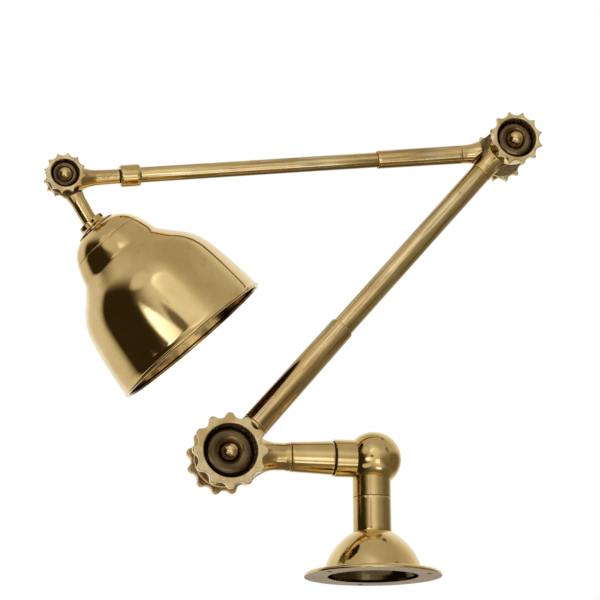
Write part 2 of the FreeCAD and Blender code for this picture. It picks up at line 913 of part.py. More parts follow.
def arm_sleeve(label, frame, start, end, wide, narrow, bore):
    body = new_body(label, frame)
    turn_about(body, "taper", [
        (start, bore / 2),
        (end, bore / 2),
        (end, narrow / 2 - D.edge_break),
        (end - D.edge_break, narrow / 2),
        (start, wide / 2),
    ])
    return body


def arms():
    bore = D.lower_tube + 2 * D.slip_fit
    arm_sleeve("lower_arm_sleeve", LOWER_AXIS, D.lower_sleeve_start, D.lower_sleeve_end,
               D.lower_sleeve_wide, D.lower_sleeve_narrow, bore)
    tube("lower_arm_tube", LOWER_AXIS, D.lower_sleeve_end - D.sleeve_lap,
         D.lower_arm - D.lower_neck_end, D.lower_tube, D.lower_tube - 2 * D.tube_wall)
    bore = D.upper_tube + 2 * D.slip_fit
    arm_sleeve("upper_arm_sleeve", UPPER_AXIS, D.upper_sleeve_start, D.upper_sleeve_end,
               D.upper_sleeve_wide, D.upper_sleeve_narrow, bore)
    tube_end = D.upper_arm - D.ferrule_reach - D.ferrule_length + 8
    tube("upper_arm_tube", UPPER_AXIS, D.upper_sleeve_end - D.sleeve_lap, tube_end,
         D.upper_tube, D.upper_tube - 2 * D.tube_wall)


def tip_ferrule():
    """Crowned barrel at the arm's tip, measured from knuckle 3 along the arm."""
    body = new_body("tip_ferrule", TIP_AXIS)
    start = D.ferrule_reach
    end = D.ferrule_reach + D.ferrule_length
    outer = D.ferrule_diameter / 2
    edge = outer - D.ferrule_crown
    slope = D.ferrule_crown * 1.6
    hole = D.tip_nipple / 2 + D.running_fit
    socket = D.upper_tube / 2 + D.slip_fit
    step = end - 8
    well = D.tip_locknut_flats / 2 / cosine(size(30)) + 0.3
    turn_about(body, "barrel", [
        (start, hole),
        (start + D.ferrule_shoulder, hole),
        (start + D.ferrule_shoulder, well),
        (step, well),
        (step, socket),
        (end, socket),
        (end, edge),
        (end - slope, outer, slope * 1.4),
        (start + slope, outer),
        (start, edge, slope * 1.4),
    ])
    return body


# Shade: outlines are (distance along the shade's axis, radius), turned about that axis

def shade_collar():
    """Ring with windows round the neck's end, and the flange that it stands on."""
    body = new_body("shade_collar", SHADE)
    ring = D.collar_diameter / 2
    well = D.collar_well / 2
    floor = D.collar_height - 3
    hole = D.holder_nipple / 2 + D.slip_fit
    flange = D.collar_flange / 2
    turn_about(body, "ring", [
        (0, well),
        (floor, well),
        (floor, hole),
        (D.collar_height, hole),
        (D.collar_height, flange),
        (D.collar_height - 0.8, flange),
        (D.collar_ring + 0.6, ring + 0.9, -9),
        (D.collar_ring + 0.6, ring),
        (1, ring),
        (0, ring - 1, 1),
    ])
    half = D.window_width / 2
    sketch = new_sketch(body, "window_outline", "XZ_Plane", turn=D.window_turn, turn_axis=(1, 0, 0))
    outline(sketch, [
        (D.collar_ring - D.window_height - 0.4, -half),
        (D.collar_ring - 0.4, -half),
        (D.collar_ring - 0.4, half),
        (D.collar_ring - D.window_height - 0.4, half),
    ])
    window = push_through(body, "window", sketch)
    repeat_round(body, "windows", window, "X_Axis", D.window_count)
    return body


def shade_cap():
    body = new_body("shade_cap", SHADE)
    top = D.collar_height
    seam = top + D.cap_depth
    wall = D.shade_wall
    shoulder = D.collar_flange / 2
    hole = D.holder_nipple / 2 + D.slip_fit
    turn_about(body, "spun_cap", [
        (top, hole),
        (top + wall, hole),
        (top + wall, shoulder - wall),
        (seam, D.cap_seam / 2 - wall, -(D.cap_radius - wall)),
        (seam, D.cap_seam / 2),
        (top + 0.5, shoulder, D.cap_radius),
        (top, shoulder - 0.5),
    ])
    return body


def shade_bell():
    body = new_body("shade_bell", SHADE)
    seam = D.collar_height + D.cap_depth
    wall = D.shade_wall
    top = D.cap_seam / 2 + 0.3
    mouth = D.bell_mouth / 2
    end = D.shade_length - D.rim_bead / 2
    waist = D.waist_diameter / 2
    shoulder = D.bell_shoulder / 2
    side = D.bell_side / 2
    turn_about(body, "spun_bell", [
        (seam, top - wall),
        (D.waist_reach, waist - wall, size(-110)),
        (D.bell_shoulder_reach, shoulder - wall),
        (D.bell_side_reach, side - wall, size(-56)),
        (end, mouth - wall, size(-400)),
        (end, mouth),
        (D.bell_side_reach, side, size(400)),
        (D.bell_shoulder_reach, shoulder, size(56)),
        (D.waist_reach, waist),
        (seam, top, size(110)),
    ])
    bead_about(body, "rolled_rim", end, mouth - wall / 2, D.rim_bead)
    return body


def lampholder():
    """Bayonet holder on the shade's axis, screwed on the nipple under the shade cap."""
    inside = D.collar_height + D.shade_wall
    nipple_end = inside + 12
    tube("lampholder_nipple", SHADE, D.collar_height - 6.4, nipple_end, D.holder_nipple, D.holder_nipple_bore)
    nut_height = size(3)
    hex_prism("lampholder_locknut", SHADE, inside, nut_height, size(15), D.holder_nipple + 2 * D.slip_fit)
    start = inside + nut_height + 0.3
    cap = D.holder_cap / 2
    wall = size(1.5)
    skirt_bore = D.holder_skirt_bore / 2
    skirt = D.holder_skirt / 2
    nipple = D.holder_nipple / 2 + D.slip_fit
    cap_end = start + D.holder_cap_height
    body = new_body("lampholder_cap", SHADE)
    turn_about(body, "domed_cap", [
        (start, nipple),
        (start, nipple + 2),
        (start + 5, cap, size(-9)),
        (cap_end, cap),
        (cap_end, skirt + D.slip_fit),
        (start + 6, skirt + D.slip_fit),
        (start + 5, nipple),
    ])
    skirt_start = start + 6.2
    skirt_end = skirt_start + D.holder_skirt_length
    body = new_body("lampholder_skirt", SHADE)
    turn_about(body, "skirt", [
        (skirt_start, skirt_bore),
        (skirt_end, skirt_bore),
        (skirt_end, skirt),
        (skirt_start, skirt),
    ])
    sketch = new_sketch(body, "slot_outline", "XZ_Plane")
    half = D.holder_slot / 2
    outline(sketch, [
        (skirt_end - D.holder_slot_depth, -half),
        (skirt_end + 1, -half),
        (skirt_end + 1, half),
        (skirt_end - D.holder_slot_depth, half),
    ])
    slot = push_through(body, "bayonet_slot", sketch)
    repeat_round(body, "bayonet_slots", slot, "X_Axis", size(2))
    block_end = skirt_end - D.holder_slot_depth - 3
    body = new_body("lampholder_insulator", SHADE)
    block_start = nipple_end + 1
    turn_about(body, "block", [
        (block_start, 0),
        (block_end, 0),
        (block_end, skirt_bore - D.slip_fit),
        (block_start, skirt_bore - D.slip_fit),
    ])
    body = new_body("lampholder_plungers", SHADE)
    sketch = new_sketch(body, "plunger_outline", "YZ_Plane", block_end)
    for side in (-1, 1):
        circle(sketch, D.plunger_spacing / 2 * side, 0, D.plunger_diameter / 2)
    pad = body.newObject("PartDesign::Pad", "plungers")
    pad.Profile = sketch
    pad.AllowMultiFace = True
    pad.setExpression("Length", D.plunger_reach.formula)
    body = new_body("lampholder_ring", SHADE)
    ring_end = cap_end + 0.3 + D.holder_ring_height
    turn_about(body, "ring", [
        (cap_end + 0.3, skirt + D.slip_fit),
        (ring_end, skirt + D.slip_fit),
        (ring_end, D.holder_ring / 2 - 3),
        (ring_end - 3, D.holder_ring / 2),
        (cap_end + 0.3, D.holder_ring / 2),
    ])


def build():
    wall_rose()
    post()
    upright_down = Frame(0, 0, -90)
    swivel_set("swivel", upright_down, -D.post_top, D.shoulder, D.nipple_grip + D.swivel_gap - 1,
               D.swivel_nipple, D.nipple_bore, D.locknut_flats, D.locknut_height, D.washer_thickness)
    ball_elbow()
    swivel_set("twist", ELBOW, D.collar_reach + D.twist_gap, D.shoulder, D.nipple_grip + D.twist_gap - 1,
               D.swivel_nipple, D.nipple_bore, D.locknut_flats, D.locknut_height, D.washer_thickness)
    tube("twist_seal", ELBOW, D.collar_reach, D.collar_reach + D.twist_gap - D.disc_play,
         D.short_sleeve_wide, D.swivel_nipple + 2 * D.running_fit)
    short_arm_sleeve()
    knuckle_1()
    knuckle_fittings("knuckle_1", KNUCKLE_1, "k1")
    knuckle_2()
    knuckle_fittings("knuckle_2", KNUCKLE_2, "k2")
    knuckle_3()
    knuckle_fittings("knuckle_3", KNUCKLE_3, "k3")
    arms()
    tip_ferrule()
    swivel_set("tip", TIP_AXIS, D.ferrule_reach, D.ferrule_shoulder, D.tip_nipple_grip + D.tip_gap - 1,
               D.tip_nipple, D.tip_nipple_bore, D.tip_locknut_flats, D.tip_locknut_height,
               D.tip_washer_thickness)
    tube("tip_seal", TIP_AXIS, D.ferrule_reach - D.tip_gap, D.ferrule_reach - D.disc_play,
         size(12.4), D.tip_nipple + 2 * D.running_fit)
    shade_collar()
    shade_cap()
    shade_bell()
    lampholder()


def check_and_write():
    doc.recompute()
    failed = [item.Name for item in doc.Objects if {"Invalid", "Error"} & set(item.State)]
    if failed:
        raise RuntimeError("failed: " + ", ".join(failed))
    os.makedirs("parts", exist_ok=True)
    for body in [item for item in doc.Objects if item.TypeId == "PartDesign::Body"]:
        shape = body.Shape
        if shape.isNull() or not shape.isValid() or shape.Volume < 1:
            raise RuntimeError("bad shape: " + body.Label)
        shape.exportStep("parts/%s.step" % body.Label)
        print("%-26s %d solid(s) %9.0f mm3" % (body.Label, len(shape.Solids), shape.Volume))


build()
check_and_write()
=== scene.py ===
"""Swing arm wall light in polished brass: finishes, turned pieces, castings and studio."""

import logging
import math
from dataclasses import dataclass, replace
from enum import Enum

import bpy
from mathutils import Matrix, Vector

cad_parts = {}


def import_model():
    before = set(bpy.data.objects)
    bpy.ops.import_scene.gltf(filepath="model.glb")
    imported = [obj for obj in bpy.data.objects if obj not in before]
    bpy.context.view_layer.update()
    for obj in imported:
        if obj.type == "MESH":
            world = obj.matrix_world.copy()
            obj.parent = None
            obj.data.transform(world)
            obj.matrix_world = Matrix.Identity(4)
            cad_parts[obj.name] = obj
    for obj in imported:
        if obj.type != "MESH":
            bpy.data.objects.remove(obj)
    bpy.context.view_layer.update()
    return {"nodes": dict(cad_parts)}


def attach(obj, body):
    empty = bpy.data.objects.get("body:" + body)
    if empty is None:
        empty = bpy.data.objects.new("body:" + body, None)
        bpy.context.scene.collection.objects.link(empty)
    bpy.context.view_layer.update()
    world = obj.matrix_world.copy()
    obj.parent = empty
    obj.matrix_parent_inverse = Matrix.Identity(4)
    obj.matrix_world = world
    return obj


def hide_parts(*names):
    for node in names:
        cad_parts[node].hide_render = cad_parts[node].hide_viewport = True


LOG = logging.getLogger("wall_light")
MM = 0.001

Point = tuple[float, float]
Profile = list[Point]
Band = tuple[float, float]
Colour = tuple[float, float, float, float]
Socket = bpy.types.NodeSocket
Value = Socket | Vector | tuple[float, ...] | float
Nodes = dict[str, bpy.types.Object]

BLACK: Colour = (0, 0, 0, 1)
WHITE: Colour = (1, 1, 1, 1)


class Look(Enum):
    """The finishes that the lamp's pieces are given."""

    SHADE = "shade_brass"
    ROSE = "rose_brass"
    # Inside of the lamp shade, with painted reflections and painted shade
    INSIDE = "lampshade_inside_painted_light"
    LOWER_TUBE = "lower_tube_brass"
    UPPER_TUBE = "upper_tube_brass"
    FITTING = "fitting_brass"
    CASTING = "cast_brass"
    DISH = "dark_dish"
    BOLT = "bolt_brass"
    HIDDEN = "plain_brass"
    FIBRE = "friction_fibre"
    RUBBER = "seal_rubber"
    CERAMIC = "holder_insulator"


# Node trees


def shade_of(red: int, green: int, blue: int) -> Colour:
    """A colour given in 0 to 255 screen values.

    Args:
        red: red screen value.
        green: green screen value.
        blue: blue screen value.

    Returns:
        The linear colour with full alpha.
    """
    knee, slope, offset, power = 0.04045, 12.92, 0.055, 2.4
    parts = []
    for value in (red, green, blue):
        part = value / 255
        parts.append(part / slope if part <= knee else ((part + offset) / (1 + offset)) ** power)
    return (parts[0], parts[1], parts[2], 1.0)


@dataclass(frozen=True)
class Noise:
    """A noise: features per metre, octaves, how much closer they lie across the grain, and roughness."""

    scale: float
    detail: float
    across: float = 1.0
    rough: float = 0.5


class Graph:
    """A node tree being put together."""

    def __init__(self, tree: bpy.types.NodeTree) -> None:
        """Empties a node tree and gives it coordinates.

        Args:
            tree: the tree.
        """
        self.tree = tree
        self.tree.nodes.clear()
        self.place = self.node("ShaderNodeTexCoord")

    def node(self, kind: str, inputs: dict[str | int, Value] | None = None,
             **settings: str | int) -> bpy.types.Node:
        """Adds a node.

        Args:
            kind: the node's type.
            inputs: what goes into its inputs, by name or place.
            settings: its properties by name.

        Returns:
            The node.
        """
        node = self.tree.nodes.new(kind)
        for name, value in settings.items():
            setattr(node, name, value)
        for name, value in (inputs or {}).items():
            self.put(value, node.inputs[name])
        return node

    def put(self, value: Value, target: Socket) -> None:
        """Links an input to a socket, or gives it a fixed value.

        Args:
            value: the socket or the value.
            target: the input.
        """
        if isinstance(value, Socket):
            self.tree.links.new(value, target)
        else:
            target.default_value = value

    def number(self, kind: str, *values: Value, node: str = "ShaderNodeMath", out: int = 0) -> Socket:
        """Works out one number from others.

        Args:
            kind: the node's operation.
            values: the values or their sockets.
            node: the node's type.
            out: which of its outputs to take.

        Returns:
            The result's socket.
        """
        return self.node(node, dict(enumerate(values)), operation=kind).outputs[out]

    def vector(self, kind: str, *values: Value) -> Socket:
        """Works out a vector from others, or its length, or their product.

        Args:
            kind: the Vector Math node's operation.
            values: the vectors or their sockets.

        Returns:
            The result's socket.
        """
        out = 1 if kind in ("DOT_PRODUCT", "LENGTH") else 0
        return self.number(kind, *values, node="ShaderNodeVectorMath", out=out)

    def span(self, source: Socket, band: Band, to_low: float = 0.0, to_high: float = 1.0) -> Socket:
        """Maps a value from a band to another range, smoothly and clamped.

        Args:
            source: the value.
            band: start and end of its range.
            to_low: result at the start.
            to_high: result at the end.

        Returns:
            The mapped value's socket.
        """
        ends = {"From Min": band[0], "From Max": band[1], "To Min": to_low, "To Max": to_high}
        node = self.node("ShaderNodeMapRange", {"Value": source, **ends}, interpolation_type="SMOOTHSTEP")
        return node.outputs["Result"]

    def blend(self, amount: Socket, first: Socket | Colour, second: Socket | Colour | float,
              kind: str = "RGBA") -> Socket:
        """Mixes two colours, or two numbers.

        Args:
            amount: share of the second.
            first: the first or its socket.
            second: the second or its socket.
            kind: FLOAT for numbers.

        Returns:
            The mixed value's socket.
        """
        slot, out = (2, 0) if kind == "FLOAT" else (6, 2)
        node = self.node("ShaderNodeMix", {0: amount, slot: first, slot + 1: second}, data_type=kind)
        return node.outputs[out]


class Recipe(Graph):
    """The node tree of a material, on object coordinates."""

    def __init__(self, name: str) -> None:
        """Starts an empty material.

        Args:
            name: name of the material.
        """
        self.material = bpy.data.materials.new(name)
        self.material.use_nodes = True
        super().__init__(self.material.node_tree)
        principled = self.node("ShaderNodeBsdfPrincipled")
        self.node("ShaderNodeOutputMaterial", {"Surface": principled.outputs["BSDF"]})
        self.shader = principled.inputs

    def noise(self, kind: Noise, turn: float = 0.0) -> Socket:
        """Noise on object coordinates.

        Args:
            kind: what the noise is like.
            turn: angle in the arms' plane that its grain is turned to.

        Returns:
            The noise value's socket.
        """
        mapping = self.node("ShaderNodeMapping", {
            "Vector": self.place.outputs["Object"],
            "Rotation": (0, -math.radians(turn), 0),
            "Scale": (1, 1 / kind.across, 1 / kind.across),
        }, vector_type="TEXTURE")
        return self.node("ShaderNodeTexNoise", {
            "Vector": mapping.outputs["Vector"],
            "Scale": kind.scale,
            "Detail": kind.detail,
            "Roughness": kind.rough,
        }).outputs["Fac"]

    def pits(self, kind: Noise, band: Band) -> Socket:
        """A height that is low in pits and level between them.

        Args:
            kind: the noise that makes the pits.
            band: the noise value at a pit's foot and at its edge.

        Returns:
            The height's socket.
        """
        node = self.node("ShaderNodeValToRGB", {"Fac": self.noise(kind)})
        for element, position, colour in zip(node.color_ramp.elements, band, (BLACK, WHITE)):
            element.position = position
            element.color = colour
        return node.outputs["Color"]

    def bump(self, height: Socket, distance: float, below: Socket | None = None) -> Socket:
        """A bump made from a height.

        Args:
            height: the height's socket.
            distance: depth of the bump in metres.
            below: normal of a bump under this one.

        Returns:
            The normal's socket.
        """
        node = self.node("ShaderNodeBump", {"Height": height, "Distance": distance, "Strength": 1.0})
        if below is not None:
            self.put(below, node.inputs["Normal"])
        return node.outputs["Normal"]

    def about(self, x: float, z: float) -> tuple[Socket, Socket]:
        """Distance from a pivot that runs along Y, and the place along it.

        Args:
            x: the pivot's X in metres.
            z: the pivot's Z in metres.

        Returns:
            The distance's socket and the Y socket.
        """
        shifted = self.vector("SUBTRACT", self.place.outputs["Object"], (x, 0, z))
        far = self.vector("LENGTH", self.vector("MULTIPLY", shifted, (1, 0, 1)))
        return far, self.node("ShaderNodeSeparateXYZ", {0: shifted}).outputs["Y"]

    def facing(self, direction: Socket | tuple[float, float, float]) -> Socket:
        """How squarely the surface faces a direction.

        Args:
            direction: vector in object space or its socket.

        Returns:
            The socket of the product of the surface's normal and the direction.
        """
        return self.vector("DOT_PRODUCT", self.place.outputs["Normal"], direction)

    def crevice(self, reach: float) -> Socket:
        """Ambient occlusion, which is dark where the surface is shut in.

        Args:
            reach: distance looked at, in metres.

        Returns:
            The occlusion value's socket.
        """
        return self.node("ShaderNodeAmbientOcclusion", {"Distance": reach}, samples=6).outputs["AO"]


# Finishes

# Noises that the finishes share, and the values between which each mark fades in

SPOTS = Noise(140.0, 6.0, rough=0.7)
DRAWN = Noise(16.0, 5.0, across=24.0, rough=0.6)
SMEAR = Noise(30.0, 5.0, across=6.0)
SCRATCHES = Noise(60.0, 4.0, across=18.0, rough=0.6)

WIDE_BAND = (0.3, 0.7)
TONE_BAND = (0.36, 0.64)
SPOT_BAND = (0.58, 0.74)
DRAWN_BAND = (0.46, 0.62)
SMEAR_BAND = (0.32, 0.72)
PIT_BAND = (0.30, 0.46)
FLANK_SHADE_COSINES = (0.78, 0.98)
UNDER_COSINES = (0.5, 0.95)
INNER_SHADE_DEPTHS = (-0.002, 0.0)
CREVICE_BAND = (0.25, 0.8)
UNDER_ROUGHNESS = 0.4
UNDER_METAL_LOSS = 0.7

CAST_CLOUD = Noise(70.0, 5.0)
CAST_STAIN = Noise(210.0, 6.0, rough=0.7)
CAST_PATINA = Noise(330.0, 4.0)
CAST_RIM = Noise(420.0, 3.0)
CAST_SMEAR = Noise(150.0, 5.0)
CAST_WAVES = Noise(85.0, 3.0)
CAST_SAND = Noise(900.0, 4.0, rough=0.6)
CAST_PITS = Noise(480.0, 3.0, rough=0.6)

CAST_CLOUD_BAND = (0.35, 0.65)
CAST_STAIN_BAND = (0.58, 0.72)
CAST_PIT_BAND = (0.30, 0.40)
CAST_CREVICE_BAND = (0.2, 0.75)
# Pointiness at which edges get lightened (wear and a painted highlight) and at which concave places take patina
EDGE_WEAR_AND_HIGHLIGHT_BULGE = (0.53, 0.60)
HOLLOW_BULGE = (0.40, 0.47)


@dataclass(frozen=True)
class Brass:
    """A brass finish: its colours, polish, tarnished spots, painted shade, waviness and pits."""

    bright: Colour = shade_of(244, 218, 160)
    deep: Colour = shade_of(230, 200, 138)
    # Brown used for tarnished spots and streaks, and also for painted shade on the tube sides and in crevices
    tarnish_and_shade: Colour = shade_of(106, 70, 32)
    # Colour of painted shade on faces that look in towards the axis, such as inside the rose's dome
    inner_shade_colour: Colour = shade_of(70, 54, 30)
    polish: float = 0.10
    dull: float = 0.24
    tone_scale: float = 22.0
    wave_scale: float = 28.0
    wave_depth: float = 0.00012
    pit_scale: float = 900.0
    pit_depth: float = 0.00002
    scratch: float = 0.000006
    # Share of painted shade laid into crevices by ambient occlusion, and how far it looks
    crevice_shade: float = 0.6
    crevice_shade_reach: float = 0.006
    spots: float = 0.35
    lengthwise: float = 0.0
    grain_angle: float = 0.0
    # Share of painted shade on a tube's sides that face across the arms' plane
    flank_shade: float = 0.0
    under: float = 0.0
    # Share of painted shade on faces that look in towards the axis
    inner_shade: float = 0.0

    def make(self, name: str) -> bpy.types.Material:
        """Builds the material.

        Args:
            name: name of the material.

        Returns:
            The brass material.
        """
        recipe = Recipe(name)
        # Downward faces are made darker, rougher and less metallic
        under = recipe.span(recipe.facing((0, 0, -1)), UNDER_COSINES, 0.0, self.under)
        polished = recipe.span(recipe.noise(SMEAR, self.grain_angle), SMEAR_BAND, self.polish, self.dull)
        dulled = recipe.number("MULTIPLY", under, UNDER_ROUGHNESS)
        recipe.put(self.colour(recipe, under), recipe.shader["Base Color"])
        recipe.put(recipe.number("ADD", polished, dulled), recipe.shader["Roughness"])
        recipe.put(recipe.number("MULTIPLY_ADD", under, -UNDER_METAL_LOSS, 1.0), recipe.shader["Metallic"])
        recipe.put(self.relief(recipe), recipe.shader["Normal"])
        return recipe.material

    def colour(self, recipe: Recipe, under: Socket) -> Socket:
        """The brass with its spots, drawn streaks, painted shade on the tube sides, darker underside, painted
        shade on inward faces and painted shade in crevices.

        Args:
            recipe: the material being made.
            under: how far a place is underneath.

        Returns:
            The colour's socket.
        """
        tone = recipe.noise(Noise(self.tone_scale, 4.0))
        skin = recipe.blend(recipe.span(tone, TONE_BAND), self.bright, self.deep)
        angle = math.radians(self.grain_angle)
        across = recipe.number("ABSOLUTE", recipe.facing((-math.sin(angle), 0, math.cos(angle))))
        drawn = recipe.noise(DRAWN, self.grain_angle)
        from_axis = recipe.vector("MULTIPLY", recipe.place.outputs["Object"], (1, 1, 0))
        for amount, colour in (
            (recipe.span(recipe.noise(SPOTS), SPOT_BAND, 0.0, self.spots), self.tarnish_and_shade),
            (recipe.span(drawn, DRAWN_BAND, 0.0, self.lengthwise), self.tarnish_and_shade),
            # Painted shade along the sides of a tube that face across the arms' plane
            (recipe.span(across, FLANK_SHADE_COSINES, 0.0, self.flank_shade), self.tarnish_and_shade),
            (under, self.tarnish_and_shade),
            # Painted shade on faces that look in towards the axis
            (recipe.span(recipe.facing(from_axis), INNER_SHADE_DEPTHS, self.inner_shade, 0.0), self.inner_shade_colour),
            # Painted shade in crevices, found by ambient occlusion
            (recipe.span(recipe.crevice(self.crevice_shade_reach), CREVICE_BAND, self.crevice_shade, 0.0), self.tarnish_and_shade),
        ):
            skin = recipe.blend(amount, skin, colour)
        return skin

    def relief(self, recipe: Recipe) -> Socket:
        """Waves of the metal with scratches and pits over them.

        Args:
            recipe: the material being made.

        Returns:
            The normal's socket.
        """
        waves = recipe.bump(recipe.noise(Noise(self.wave_scale, 2.0)), self.wave_depth)
        scratched = recipe.bump(recipe.noise(SCRATCHES, self.grain_angle), self.scratch, waves)
        pits = recipe.pits(Noise(self.pit_scale, 3.0, rough=0.6), PIT_BAND)
        return recipe.bump(pits, self.pit_depth, scratched)


@dataclass(frozen=True)
class CastBrass:
    """Sand-cast brass of a knuckle: satin toothed face, dark dish, painted shade in the waist, polished neck.
    """

    pivot: Point
    side: int
    recess: float
    tip: float
    floor: float
    flange_back: float
    face: Colour = shade_of(252, 230, 182)
    face_deep: Colour = shade_of(220, 190, 130)
    neck: Colour = shade_of(242, 214, 154)
    # Pale colour of rubbed edges, laid on as wear and as a painted highlight on the teeth
    worn: Colour = shade_of(255, 244, 208)
    dish: Colour = shade_of(112, 88, 56)
    dish_deep: Colour = shade_of(60, 42, 22)
    # Brown of stains and patina, also used for painted shade in crevices
    tarnish_and_shade: Colour = shade_of(84, 56, 26)
    rim_wander: float = 0.8
    recess_edge: Band = (-0.1, 0.35)
    floor_edge: Band = (-1.2, -0.6)
    neck_start: Band = (-3.0, 5.0)
    flange_edge: Band = (-1.5, 0.0)
    front_waist: float = 0.36
    # Strength of the painted shade in the waist between the castings
    waist_shade: float = 0.95
    satin: Band = (0.20, 0.36)
    polish: Band = (0.09, 0.20)
    dark_metal_loss: float = 0.45
    waist_metal_loss: float = 0.45
    dark_shine_loss: float = 0.48
    dark_rough: float = 0.16
    waist_rough: float = 0.35
    stained: float = 0.5
    # Share of the pale edge colour on convex edges: wear and painted highlight
    edge_wear_and_highlight: float = 0.6
    hollow_dark: float = 0.7
    # Share of painted shade laid into crevices by ambient occlusion, and how far it looks
    crevice_shade: float = 0.8
    crevice_shade_reach: float = 0.006
    wave_depth: float = 0.0003
    sand_depth: float = 0.000014
    pit_depth: float = 0.000025

    @staticmethod
    def edge(at: float, band: Band) -> Band:
        """A band of distances about a place.

        Args:
            at: the place in millimetres.
            band: start and end of the band from there.

        Returns:
            The band in metres.
        """
        return ((at + band[0]) * MM, (at + band[1]) * MM)

    def make(self, name: str) -> bpy.types.Material:
        """Builds the material.

        Args:
            name: name of the material.

        Returns:
            The cast material.
        """
        recipe = Recipe(name)
        shader = recipe.shader
        far, deep = recipe.about(self.pivot[0] * MM, self.pivot[1] * MM)
        outward = recipe.number("MULTIPLY", deep, float(self.side))
        past_tip = recipe.span(far, self.edge(self.tip, self.neck_start))
        behind = recipe.span(outward, self.edge(self.flange_back, self.flange_edge), 1.0, 0.0)
        neck = recipe.number("MAXIMUM", past_tip, behind)
        # The waist gets painted shade in the dish's patina colours, with less metal and more roughness
        waist = self.waist(recipe, past_tip, outward)
        dark = recipe.number("MAXIMUM", self.sunk(recipe, far, outward), waist)
        patina = recipe.span(recipe.noise(CAST_PATINA), CAST_CLOUD_BAND)
        patina = recipe.blend(patina, self.dish, self.dish_deep)
        recipe.put(recipe.blend(dark, self.skin(recipe, neck), patina), shader["Base Color"])
        metal = recipe.number("MULTIPLY_ADD", dark, -self.dark_metal_loss, 1.0)
        lost = recipe.number("MULTIPLY", waist, self.waist_metal_loss)
        recipe.put(recipe.number("SUBTRACT", metal, lost), shader["Metallic"])
        shine = recipe.number("MULTIPLY_ADD", dark, -self.dark_shine_loss, 0.5)
        recipe.put(shine, shader["Specular IOR Level"])
        recipe.put(recipe.blend(dark, WHITE, self.dish_deep), shader["Specular Tint"])
        smear = recipe.noise(CAST_SMEAR)
        satin, polished = (recipe.span(smear, WIDE_BAND, *ends) for ends in (self.satin, self.polish))
        rough = recipe.blend(neck, satin, polished, "FLOAT")
        for share, amount in ((dark, self.dark_rough), (waist, self.waist_rough)):
            rough = recipe.number("ADD", rough, recipe.number("MULTIPLY", share, amount))
        recipe.put(rough, shader["Roughness"])
        waves = recipe.bump(recipe.noise(CAST_WAVES), self.wave_depth)
        sand = recipe.bump(recipe.noise(CAST_SAND), self.sand_depth, waves)
        pits = recipe.pits(CAST_PITS, CAST_PIT_BAND)
        recipe.put(recipe.bump(pits, self.pit_depth, sand), shader["Normal"])
        return recipe.material

    def sunk(self, recipe: Recipe, far: Socket, outward: Socket) -> Socket:
        """Where the dish lies, with a rim that wanders a little.

        Args:
            recipe: the material being made.
            far: distance from the pivot.
            outward: distance out along the pivot.

        Returns:
            The mask's socket.
        """
        reach = self.rim_wander * MM
        wander = recipe.number("MULTIPLY_ADD", recipe.noise(CAST_RIM), reach, -reach / 2)
        rim = recipe.number("ADD", far, wander)
        inside = recipe.span(rim, self.edge(self.recess, self.recess_edge), 1.0, 0.0)
        deep = recipe.span(outward, self.edge(self.floor, self.floor_edge))
        return recipe.number("MULTIPLY", inside, deep)

    def waist(self, recipe: Recipe, past_tip: Socket, outward: Socket) -> Socket:
        """Painted shade in the waist behind the flange, which is narrower on a front casting.

        Args:
            recipe: the material being made.
            past_tip: how far a place is past the teeth.
            outward: distance out along the pivot.

        Returns:
            The mask's socket.
        """
        near = recipe.number("MULTIPLY_ADD", past_tip, -self.waist_shade, self.waist_shade)
        start = self.flange_back * (1.0 if self.side > 0 else self.front_waist)
        behind = recipe.span(outward, self.edge(start, self.flange_edge), 1.0, 0.0)
        return recipe.number("MULTIPLY", near, behind)

    def skin(self, recipe: Recipe, neck: Socket) -> Socket:
        """The bright brass with stains, worn edges lightened by a painted highlight, patina in its hollows and
        painted shade in crevices.

        Args:
            recipe: the material being made.
            neck: how far a place belongs to the neck.

        Returns:
            The colour's socket.
        """
        cloud = recipe.span(recipe.noise(CAST_CLOUD), CAST_CLOUD_BAND)
        face, polished = (recipe.blend(cloud, colour, self.face_deep) for colour in (self.face, self.neck))
        skin = recipe.blend(neck, face, polished)
        bulge = recipe.node("ShaderNodeNewGeometry").outputs["Pointiness"]
        for amount, colour in (
            (recipe.span(recipe.noise(CAST_STAIN), CAST_STAIN_BAND, 0.0, self.stained), self.tarnish_and_shade),
            # Convex edges lightened: wear with a painted highlight
            (recipe.span(bulge, EDGE_WEAR_AND_HIGHLIGHT_BULGE, 0.0, self.edge_wear_and_highlight), self.worn),
            (recipe.span(bulge, HOLLOW_BULGE, self.hollow_dark, 0.0), self.tarnish_and_shade),
            # Painted shade in crevices, found by ambient occlusion
            (recipe.span(recipe.crevice(self.crevice_shade_reach), CAST_CREVICE_BAND, self.crevice_shade, 0.0), self.tarnish_and_shade),
        ):
            skin = recipe.blend(amount, skin, colour)
        return skin


@dataclass(frozen=True)
class Plain:
    """A finish that isn't metal: rubber, fibre or glazed ceramic."""

    first: Colour
    second: Colour
    grain: float
    roughness: Band
    depth: float

    def make(self, name: str) -> bpy.types.Material:
        """Builds the material.

        Args:
            name: name of the material.

        Returns:
            The plain material.
        """
        recipe = Recipe(name)
        grain = recipe.noise(Noise(self.grain, 5.0))
        amount = recipe.span(grain, WIDE_BAND)
        recipe.put(recipe.blend(amount, self.first, self.second), recipe.shader["Base Color"])
        recipe.put(recipe.span(grain, WIDE_BAND, *self.roughness), recipe.shader["Roughness"])
        recipe.put(recipe.bump(grain, self.depth), recipe.shader["Normal"])
        return recipe.material
